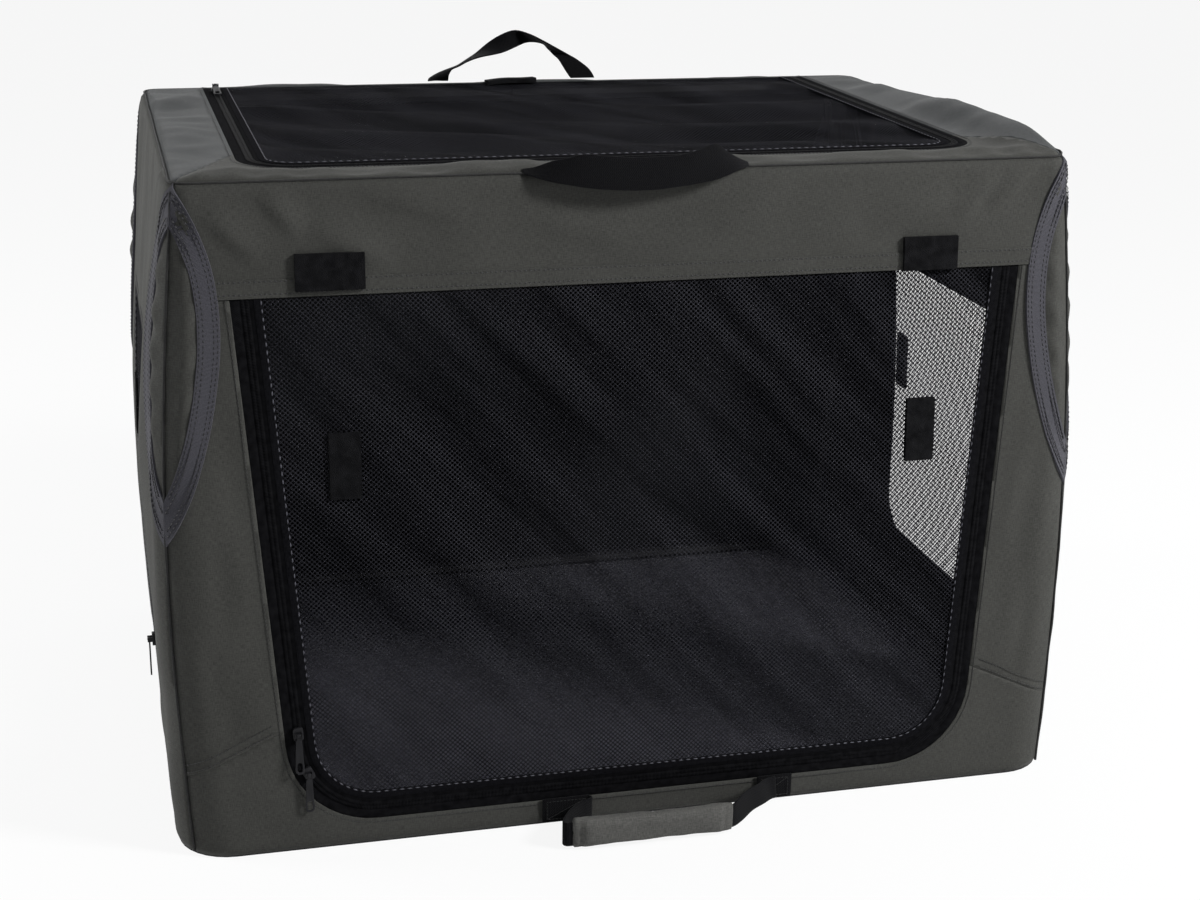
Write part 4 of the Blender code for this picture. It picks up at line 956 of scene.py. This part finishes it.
def thread(name, dark, light):
    """Twisted polyester thread."""
    made, tree = new_finish(name, {"Roughness": 0.6})
    spots = node(tree, "TexCoord").outputs["UV"]
    strands = node(tree, "Mapping", {"Vector": spots, "Rotation": (0, 0, 0.7), "Scale": (9000, 2500, 1)})
    twist = cloud(tree, strands.outputs[0], 1.0)
    tint(tree, twist, dark, light)
    emboss(tree, twist, 0.5, 0.0001)
    return made


pale_thread = thread("pale_thread", (0.035, 0.035, 0.044), (0.085, 0.085, 0.105))
grey_thread = thread("grey_thread", (0.010, 0.010, 0.011), (0.022, 0.022, 0.023))
for name, (side, line, body) in ZIPS.items():
    bm = bmesh.new()
    stitch(bm, side, line(-STITCH_INSET), 0.0002, 0.00065, length=0.0070)
    rows = finished(f"{name}_net_stitches", closed(bm), pale_thread)
    fit(rows, f"{name}_door", folds=side != "roof")
    bm = bmesh.new()
    stitch(bm, side, line(0.0035), 0.0005)
    rows = finished(f"{name}_edge_stitches", closed(bm), grey_thread)
    fit(rows, body, folds=body == "base")


# Corner tapes: ribbed grosgrain in a purplish grey, sewn over the gussets' curved edges with two rows on each
# side. The tapes of a corner meet in a point at its seam, below and above.
grosgrain, tree = new_finish("grosgrain", {"Roughness": 0.7, "Specular IOR Level": 0.15, "Sheen Weight": 0.06})
spots = node(tree, "TexCoord").outputs["UV"]
ribs = ridges(tree, node(tree, "SeparateXYZ", {0: spots}).outputs[0], 0.0011)
tone = calc(tree, "MULTIPLY_ADD", ribs, 0.10, cloud(tree, spots, 900.0, 3.0))
tint(tree, tone, (0.040, 0.039, 0.047), (0.070, 0.069, 0.081))
emboss(tree, ribs, 0.5, 0.0003)
dark_thread = thread("dark_thread", (0.006, 0.006, 0.008), (0.015, 0.015, 0.018))
for side in (*ENDS, *SIDES):
    tapes, rows = bmesh.new(), bmesh.new()
    for sign in (-1, 1):
        line = even(mirrored(lens_line(side, TAPE_WIDTH / 2, True), sign), 0.005)
        lay(tapes, side, line, lambda i: flat_strip(TAPE_WIDTH / 2, 0.0019, -0.0010), to_seam=True)
        for inset in (0.0020, 0.0052, TAPE_WIDTH - 0.0052, TAPE_WIDTH - 0.0020):
            row = [spot for spot in lens_line(side, inset) if abs(spot.x) < seam(side, spot.y) - 0.001]
            stitch(rows, side, mirrored(row, sign), 0.0019, 0.00065, to_seam=True, length=0.0046)
    piece = finished(f"{side}_corner_tapes", closed(tapes), grosgrain)
    piece.data.set_sharp_from_angle(angle=CRISP)
    fit(piece, "base")
    piece = finished(f"{side}_tape_stitches", closed(rows), dark_thread)
    fit(piece, "base")


# Seams: the band's hem and the slanting seams are folded over and sewn with two rows. A narrow welt of folded
# cloth stands along each upright corner, and a thinner one round the roof's edge.
HEM_SECTION = in_millimetres(
    ((-7.8, -0.8), (-7.8, 0.3), (-7.4, 0.7), (-4.5, 0.7), (-1.5, 0.7), (1.5, 0.7), (4.5, 0.7))
    + ((7.4, 0.7), (7.8, 0.3), (7.8, -0.8), (-7.8, -0.8))
)


def on_band(spot):
    """How far the band's cloth stands out at a point near its hem."""
    share = min(max(spot.y - HEM, 0) / EDGE_FADE, 1)
    return band_shape(spot.x, spot.y, share * (2 - share))


bm = bmesh.new()
HEM_MIDDLE = HEM + 0.0068
spots = even([Vector((-edge.x, HEM_MIDDLE)), Vector((edge.x, HEM_MIDDLE))], 0.005)


def hem_section(i):
    """The hem's cross-section, laid on the band's folds."""
    return [(across, out + on_band(spots[i] + Vector((0, across)))) for across, out in HEM_SECTION]


lay(bm, "front", spots, hem_section)
hem = finished("band_hem", closed(bm), grey_cloth)
hem.data.set_sharp_from_angle(angle=CRISP)
fit(hem, "base")
bm = bmesh.new()
for rise in (0.0025, 0.0130):
    row = [Vector((-edge.x, HEM + rise)), Vector((edge.x, HEM + rise))]
    stitch(bm, "front", row, lambda spot: on_band(spot) + 0.0007, 0.00065, length=0.0042)
for sign in (-1, 1):
    start, end = Vector((SEAM_INNER[0] + 0.024, 0)), Vector((seam("front", 0.075), 0))
    for rise in (0.0030, 0.0105):
        for spot in (start, end):
            spot.y = SEAM_INNER[1] - slope * (spot.x - SEAM_INNER[0]) + rise
        stitch(bm, "front", mirrored([start.copy(), end.copy()], sign), 0.0009, 0.00050)
for side in SIDES:
    for rise in (0.004, 0.012):
        half, z = DOOR["end"][0], DOOR["end"][2] + rise
        stitch(bm, side, [Vector((-half, z)), Vector((half, z))], 0.0006)
rows = finished("seam_stitches", closed(bm), grey_thread)
fit(rows, "base")


def cord_along(bm, path, radius, sides=6):
    """A round cord of cloth along a path of points."""
    rings = []
    for i, point in enumerate(path):
        ahead = (path[min(i + 1, len(path) - 1)] - path[max(i - 1, 0)]).normalized()
        turned = Matrix.Translation(point) @ ahead.to_track_quat("Z", "Y").to_matrix().to_4x4()
        rings.append(bmesh.ops.create_circle(bm, segments=sides, radius=radius, matrix=turned)["verts"])
    for first, second in zip(rings, rings[1:]):
        rim = {edge for ring in (first, second) for vert in ring for edge in vert.link_edges}
        rim = [e for e in rim if (set(e.verts) <= set(first)) or (set(e.verts) <= set(second))]
        bmesh.ops.bridge_loops(bm, edges=rim)
    uv, run = bm.loops.layers.uv.verify(), run_along(path)
    places = {vert: (run[i], j) for i, ring in enumerate(rings) for j, vert in enumerate(ring)}
    for face in {face for vert in places for face in vert.link_faces}:
        wraps = max(places[loop.vert][1] for loop in face.loops) == sides - 1
        for loop in face.loops:
            along, j = places[loop.vert]
            loop[uv].uv = (along, (sides if wraps and j == 0 else j) * 2 * math.pi * radius / sides)


welt_cloth = woven("welt_cloth", (0.018, 0.018, 0.018), (0.032, 0.032, 0.031), 0.0005)
bm = bmesh.new()
for sign_x in (-1, 1):
    for sign_y in (-1, 1):
        path = []
        for step in range(61):
            z = 0.004 + 0.591 * step / 60
            wander = 0.0008 * noise.noise(Vector((z * 30, sign_x * 3.0, sign_y * 5.0)))
            spot = on("back", seam("back", z), z, 0.0006 + wander)
            path.append(Vector((sign_x * spot.x, sign_y * spot.y, spot.z)))
        cord_along(bm, path, 0.0013)
welts = finished("corner_welts", bm, welt_cloth)
fit(welts, "base")

bm = bmesh.new()
path = [on("roof", *spot, 0.0008) for spot in roof_edge]
fine = []
for a, b in zip(path, path[1:] + path[:1]):
    pieces = max(1, round((b - a).length / 0.012))
    fine += [a.lerp(b, i / pieces) for i in range(pieces)]
cord_along(bm, [*fine, fine[0]], 0.0011)
roof_welt = finished("roof_welt", bm, welt_cloth)
fit(roof_welt, "roof", folds=False)


# Hook-and-loop: soft loop patches on the band, on the front door and on the end doors' nets, and one on the
# roof's back edge. A rolled-up door is held by them.
loops, tree = new_finish("hook_and_loop", {"Roughness": 0.95, "Specular IOR Level": 0.05})
spots = node(tree, "TexCoord").outputs["Object"]
tint(tree, cloud(tree, spots, 130.0, 4.0), (0.0035, 0.0035, 0.004), (0.010, 0.010, 0.011))
emboss(tree, node(tree, "TexVoronoi", {"Vector": spots, "Scale": 1400.0}).outputs["Distance"], 0.9, 0.0006)
PATCHES = (
    ("band_patch_left", "front", (-0.298, -0.240), 0.5175, 0.0155, "base"),
    ("band_patch_right", "front", (0.239, 0.290), 0.5115, 0.0150, "base"),
    ("door_patch_left", "front", (-0.275, -0.248), 0.350, 0.0290, "front_door"),
    ("door_patch_right", "front", (0.248, 0.275), 0.350, 0.0290, "front_door"),
    ("left_strip_a", "left", (-0.140, -0.118), 0.292, 0.0300, "left_door"),
    ("left_strip_b", "left", (0.118, 0.140), 0.292, 0.0300, "left_door"),
    ("right_strip_a", "right", (-0.140, -0.118), 0.292, 0.0300, "right_door"),
    ("right_strip_b", "right", (0.118, 0.140), 0.292, 0.0300, "right_door"),
    ("roof_patch", "roof", (-0.029, 0.025), 0.2650, 0.0105, "roof"),
)
for name, side, (start, end), middle, half, body in PATCHES:
    if body == "base":
        under = band_shape
    else:
        under = roof_shape if body == "roof" else front_net_shape
    line = [Vector((start + (end - start) * i / 12, middle)) for i in range(13)]
    lifts = [under(*spot, 1.0) + (0.0022 if body == "base" else 0.0006) for spot in line]
    bm = bmesh.new()
    ring = flat_strip(half, 0.0018, -0.0030)
    lay(bm, side, line, lambda i: [(across, out + lifts[i]) for across, out in ring])
    patch = finished(name, closed(bm), loops)
    patch.data.set_sharp_from_angle(angle=CRISP)
    fit(patch, body, folds=body != "roof")


# Roof handles: black polyester webbing, its ends sewn into the roof's front and back seams. The front one lies
# over the edge, twisted at its right end, and the back one stands up in an arch.
webbing, tree = new_finish("webbing", {"Roughness": 0.72, "Specular IOR Level": 0.01, "Sheen Weight": 0.04})
spots = node(tree, "TexCoord").outputs["UV"]
split = node(tree, "SeparateXYZ", {0: spots}).outputs
slant = calc(tree, "MULTIPLY", ridges(tree, split[1], 0.0026), 1.6)
weave = calc(tree, "SINE", calc(tree, "MULTIPLY_ADD", split[0], 2 * math.pi / 0.0016, slant))
tone = calc(tree, "MULTIPLY_ADD", weave, 0.09, cloud(tree, spots, 700.0, 3.0))
tint(tree, tone, (0.0035, 0.0035, 0.0040), (0.0095, 0.0095, 0.0105))
emboss(tree, weave, 0.5, 0.0003)


STRAP_THICKNESS, STRAP_ROWS = 0.0016, 6


def strap(name, stations, per_span=4):
    """A webbing strap between its two edges, given as pairs of points."""
    first, second = (smooth_line(edge, per_span) for edge in zip(*stations))
    bm = bmesh.new()
    count = len(first) - 1
    made = bmesh.ops.create_grid(bm, x_segments=count, y_segments=STRAP_ROWS, size=0.5)["verts"]
    run = run_along([(a + b) / 2 for a, b in zip(first, second)])
    flat = {}
    for vert in made:
        i, share = round((vert.co.x + 0.5) * count), round((vert.co.y + 0.5) * STRAP_ROWS) / STRAP_ROWS
        vert.co = first[i].lerp(second[i], share)
        flat[vert] = (run[i], (first[i] - second[i]).length * (share - 0.5))
    write_uvs(bm, flat)
    piece = finished(name, bm, webbing, (0, 0, 0.3))
    thicken(piece, STRAP_THICKNESS, 0)
    rim = piece.modifiers.new("worn edges", "BEVEL")
    rim.width, rim.segments = STRAP_THICKNESS * 0.3, 2
    rim.limit_method, rim.angle_limit = "ANGLE", math.radians(50)
    return piece


FRONT_HANDLE = (
    ((-0.1040, -0.2740, 0.5952), (-0.1040, -0.2800, 0.5925)),
    ((-0.0940, -0.2800, 0.5978), (-0.0955, -0.2870, 0.5900)),
    ((-0.0820, -0.2870, 0.6034), (-0.0818, -0.2930, 0.5867)),
    ((-0.0697, -0.2920, 0.6064), (-0.0695, -0.2950, 0.5846)),
    ((-0.0560, -0.2950, 0.6101), (-0.0541, -0.2970, 0.5819)),
    ((-0.0360, -0.2965, 0.6083), (-0.0355, -0.2985, 0.5800)),
    ((-0.0143, -0.2970, 0.6066), (-0.0160, -0.2990, 0.5788)),
    ((0.0075, -0.2970, 0.6065), (0.0050, -0.2990, 0.5788)),
    ((0.0262, -0.2965, 0.6073), (0.0238, -0.2985, 0.5804)),
    ((0.0434, -0.2950, 0.6108), (0.0411, -0.2970, 0.5822)),
    ((0.0599, -0.2900, 0.6149), (0.0585, -0.2960, 0.5848)),
    ((0.0704, -0.2860, 0.6085), (0.0727, -0.2940, 0.5889)),
    ((0.0818, -0.2820, 0.6014), (0.0837, -0.2890, 0.5923)),
    ((0.0945, -0.2740, 0.5955), (0.0945, -0.2800, 0.5930)),
)
handle = strap("front_handle", FRONT_HANDLE)
fit(handle, "roof_front_handle", ["roof_front_handle"], folds=False)

BACK_HANDLE = (
    ((-0.0922, 0.2740, 0.5965), (-0.0694, 0.2740, 0.5965)),
    ((-0.0893, 0.2800, 0.5985), (-0.0702, 0.2650, 0.6030)),
    ((-0.0803, 0.2830, 0.6028), (-0.0690, 0.2610, 0.6082)),
    ((-0.0699, 0.2845, 0.6066), (-0.0669, 0.2592, 0.6111)),
    ((-0.0575, 0.2850, 0.6109), (-0.0602, 0.2587, 0.6139)),
    ((-0.0459, 0.2850, 0.6179), (-0.0500, 0.2587, 0.6190)),
    ((-0.0365, 0.2840, 0.6243), (-0.0356, 0.2600, 0.6232)),
    ((-0.0231, 0.2760, 0.6377), (-0.0104, 0.2690, 0.6260)),
    ((-0.0091, 0.2700, 0.6466), (0.0047, 0.2740, 0.6309)),
    ((0.0043, 0.2690, 0.6502), (0.0169, 0.2760, 0.6356)),
    ((0.0191, 0.2630, 0.6463), (0.0278, 0.2800, 0.6361)),
    ((0.0335, 0.2600, 0.6393), (0.0388, 0.2835, 0.6336)),
    ((0.0500, 0.2640, 0.6305), (0.0425, 0.2790, 0.6292)),
    ((0.0640, 0.2700, 0.6232), (0.0475, 0.2730, 0.6230)),
    ((0.0740, 0.2730, 0.6180), (0.0535, 0.2710, 0.6175)),
    ((0.0872, 0.2745, 0.6085), (0.0616, 0.2735, 0.6056)),
    ((0.0928, 0.2745, 0.6018), (0.0663, 0.2740, 0.5990)),
    ((0.0955, 0.2740, 0.5965), (0.0685, 0.2740, 0.5965)),
)
handle = strap("back_handle", BACK_HANDLE)
fit(handle, "roof_back_handle", ["roof_back_handle"], folds=False)


# Carry handle: narrower webbing whose ends are sewn flat on the front wall with a boxed stitch. The left end
# folds back on itself before it goes through the grip.
CARRY_LOW, CARRY_HIGH = 0.0030, 0.0260
front_y = -half_depth((CARRY_LOW + CARRY_HIGH) / 2)


def upright(path):
    """The two edges of a strap that stands on its edge along a plan line of (x, y)."""
    return [((x, y, CARRY_HIGH), (x, y, CARRY_LOW)) for x, y in path]


black_thread = thread("black_thread", (0.004, 0.004, 0.005), (0.010, 0.010, 0.011))
tabs = {"left": ((-0.0930, -0.0490), "carry_end_left"), "right": ((0.1120, 0.1460), "carry_end_right")}
for word, ((start, end), stands_for) in tabs.items():
    spots = [(start + (end - start) * i / 4, front_y - 0.0016) for i in range(5)]
    tab = strap(f"carry_tab_{word}", upright(spots), per_span=2)
    fit(tab, "base", [stands_for], folds=False)
    bm = bmesh.new()
    left, right, low, high = start + 0.004, end - 0.004, CARRY_LOW + 0.003, CARRY_HIGH - 0.003
    box = ((left, low), (right, low), (right, high), (left, high), (left, low), (right, high))
    for a, b in zip(box, box[1:]):
        stitch(bm, "front", [Vector(a), Vector(b)], 0.0030, 0.00028)
    rows = finished(f"carry_tab_{word}_stitches", closed(bm), black_thread)
    fit(rows, "base", folds=False)

GRIP_Y = -0.364
carry_path = (
    (-0.0490, front_y - 0.0030),
    (-0.0482, front_y - 0.0060),
    (-0.0520, front_y - 0.0090),
    (-0.0620, front_y - 0.0150),
    (-0.0740, front_y - 0.0270),
    (-0.0815, GRIP_Y + 0.0100),
    (-0.0838, GRIP_Y + 0.0045),
    (-0.0820, GRIP_Y + 0.0008),
    (-0.0760, GRIP_Y),
    (-0.0400, GRIP_Y),
    (0.0000, GRIP_Y),
    (0.0400, GRIP_Y),
)
stations = [
    *upright(carry_path),
    ((0.0640, GRIP_Y, 0.0255), (0.0640, GRIP_Y, 0.0035)),
    ((0.0735, GRIP_Y + 0.0012, 0.0264), (0.0745, GRIP_Y + 0.0012, 0.0036)),
    ((0.0810, GRIP_Y + 0.0075, 0.0284), (0.0850, GRIP_Y + 0.0080, 0.0050)),
    ((0.0930, GRIP_Y + 0.0195, 0.0290), (0.0990, GRIP_Y + 0.0205, 0.0070)),
    ((0.1070, GRIP_Y + 0.0310, 0.0276), (0.1140, GRIP_Y + 0.0320, 0.0062)),
    ((0.1190, front_y - 0.0075, 0.0262), (0.1240, front_y - 0.0075, 0.0042)),
    ((0.1290, front_y - 0.0036, 0.0256), (0.1310, front_y - 0.0036, 0.0034)),
]
carry = strap("carry_webbing", stations)
fit(carry, "carry_handle", ["carry_strap"], folds=False)

# Grip: a padded sleeve of light grey polyester round the carry webbing, sewn shut along its back and boxed at
# both ends.
grip_cloth = woven("grip_polyester", (0.062, 0.061, 0.058), (0.110, 0.109, 0.102), 0.00055)
GRIP = ((-0.0765, 0.0725), (GRIP_Y - 0.0060, GRIP_Y + 0.0060), (0.0020, 0.0315))
bm = bmesh.new()
bmesh.ops.create_cube(bm, size=1)
spans = [high - low for low, high in GRIP]
middles = [(high + low) / 2 for low, high in GRIP]
bmesh.ops.scale(bm, vec=spans, verts=bm.verts)
bmesh.ops.translate(bm, vec=middles, verts=bm.verts)
long_edges = [e for e in bm.edges if abs(e.verts[0].co.x - e.verts[1].co.x) > 0.1]
bmesh.ops.bevel(bm, geom=long_edges, offset=0.0050, segments=4, profile=0.5, affect="EDGES", material=-1)
grip = finished("carry_sleeve", bm, grip_cloth)
inflate(grip, 0.0025, 0.0015)
for vertex in grip.data.vertices:
    x, y, z = vertex.co
    end = min(x - GRIP[0][0], GRIP[0][1] - x)
    sewn_row = math.exp(-(((end - 0.008) / 0.0015) ** 2))
    pinch = 1 - 0.55 * math.exp(-((max(end, 0) / 0.008) ** 2)) - 0.28 * sewn_row
    fold = 0.0016 * math.exp(-((z - 0.0150) / 0.0012) ** 2) * (y < GRIP_Y)
    fold *= max(0.0, min(1.0, (-0.035 - x) / 0.03))
    lump = 0.0006 * noise.noise(Vector((x * 60, y * 60, z * 60)))
    sag = -0.0012 * math.cos(math.pi * (x + 0.0035) / 0.16)
    taper = 1 - 0.07 * (x - GRIP[0][0]) / (GRIP[0][1] - GRIP[0][0])
    vertex.co = (x, GRIP_Y + (y - GRIP_Y) * pinch + fold + lump, max(z * taper + sag + lump, 0.0003))
uv = grip.data.uv_layers.new(name="cloth")
for face in grip.data.polygons:
    facing = max(range(3), key=lambda axis: abs(face.normal[axis]))
    first, second = [axis for axis in range(3) if axis != facing]
    for i in face.loop_indices:
        spot = grip.data.vertices[grip.data.loops[i].vertex_index].co
        uv.data[i].uv = (spot[first], spot[second])
fit(grip, "carry_handle", ["carry_grip"], folds=False)
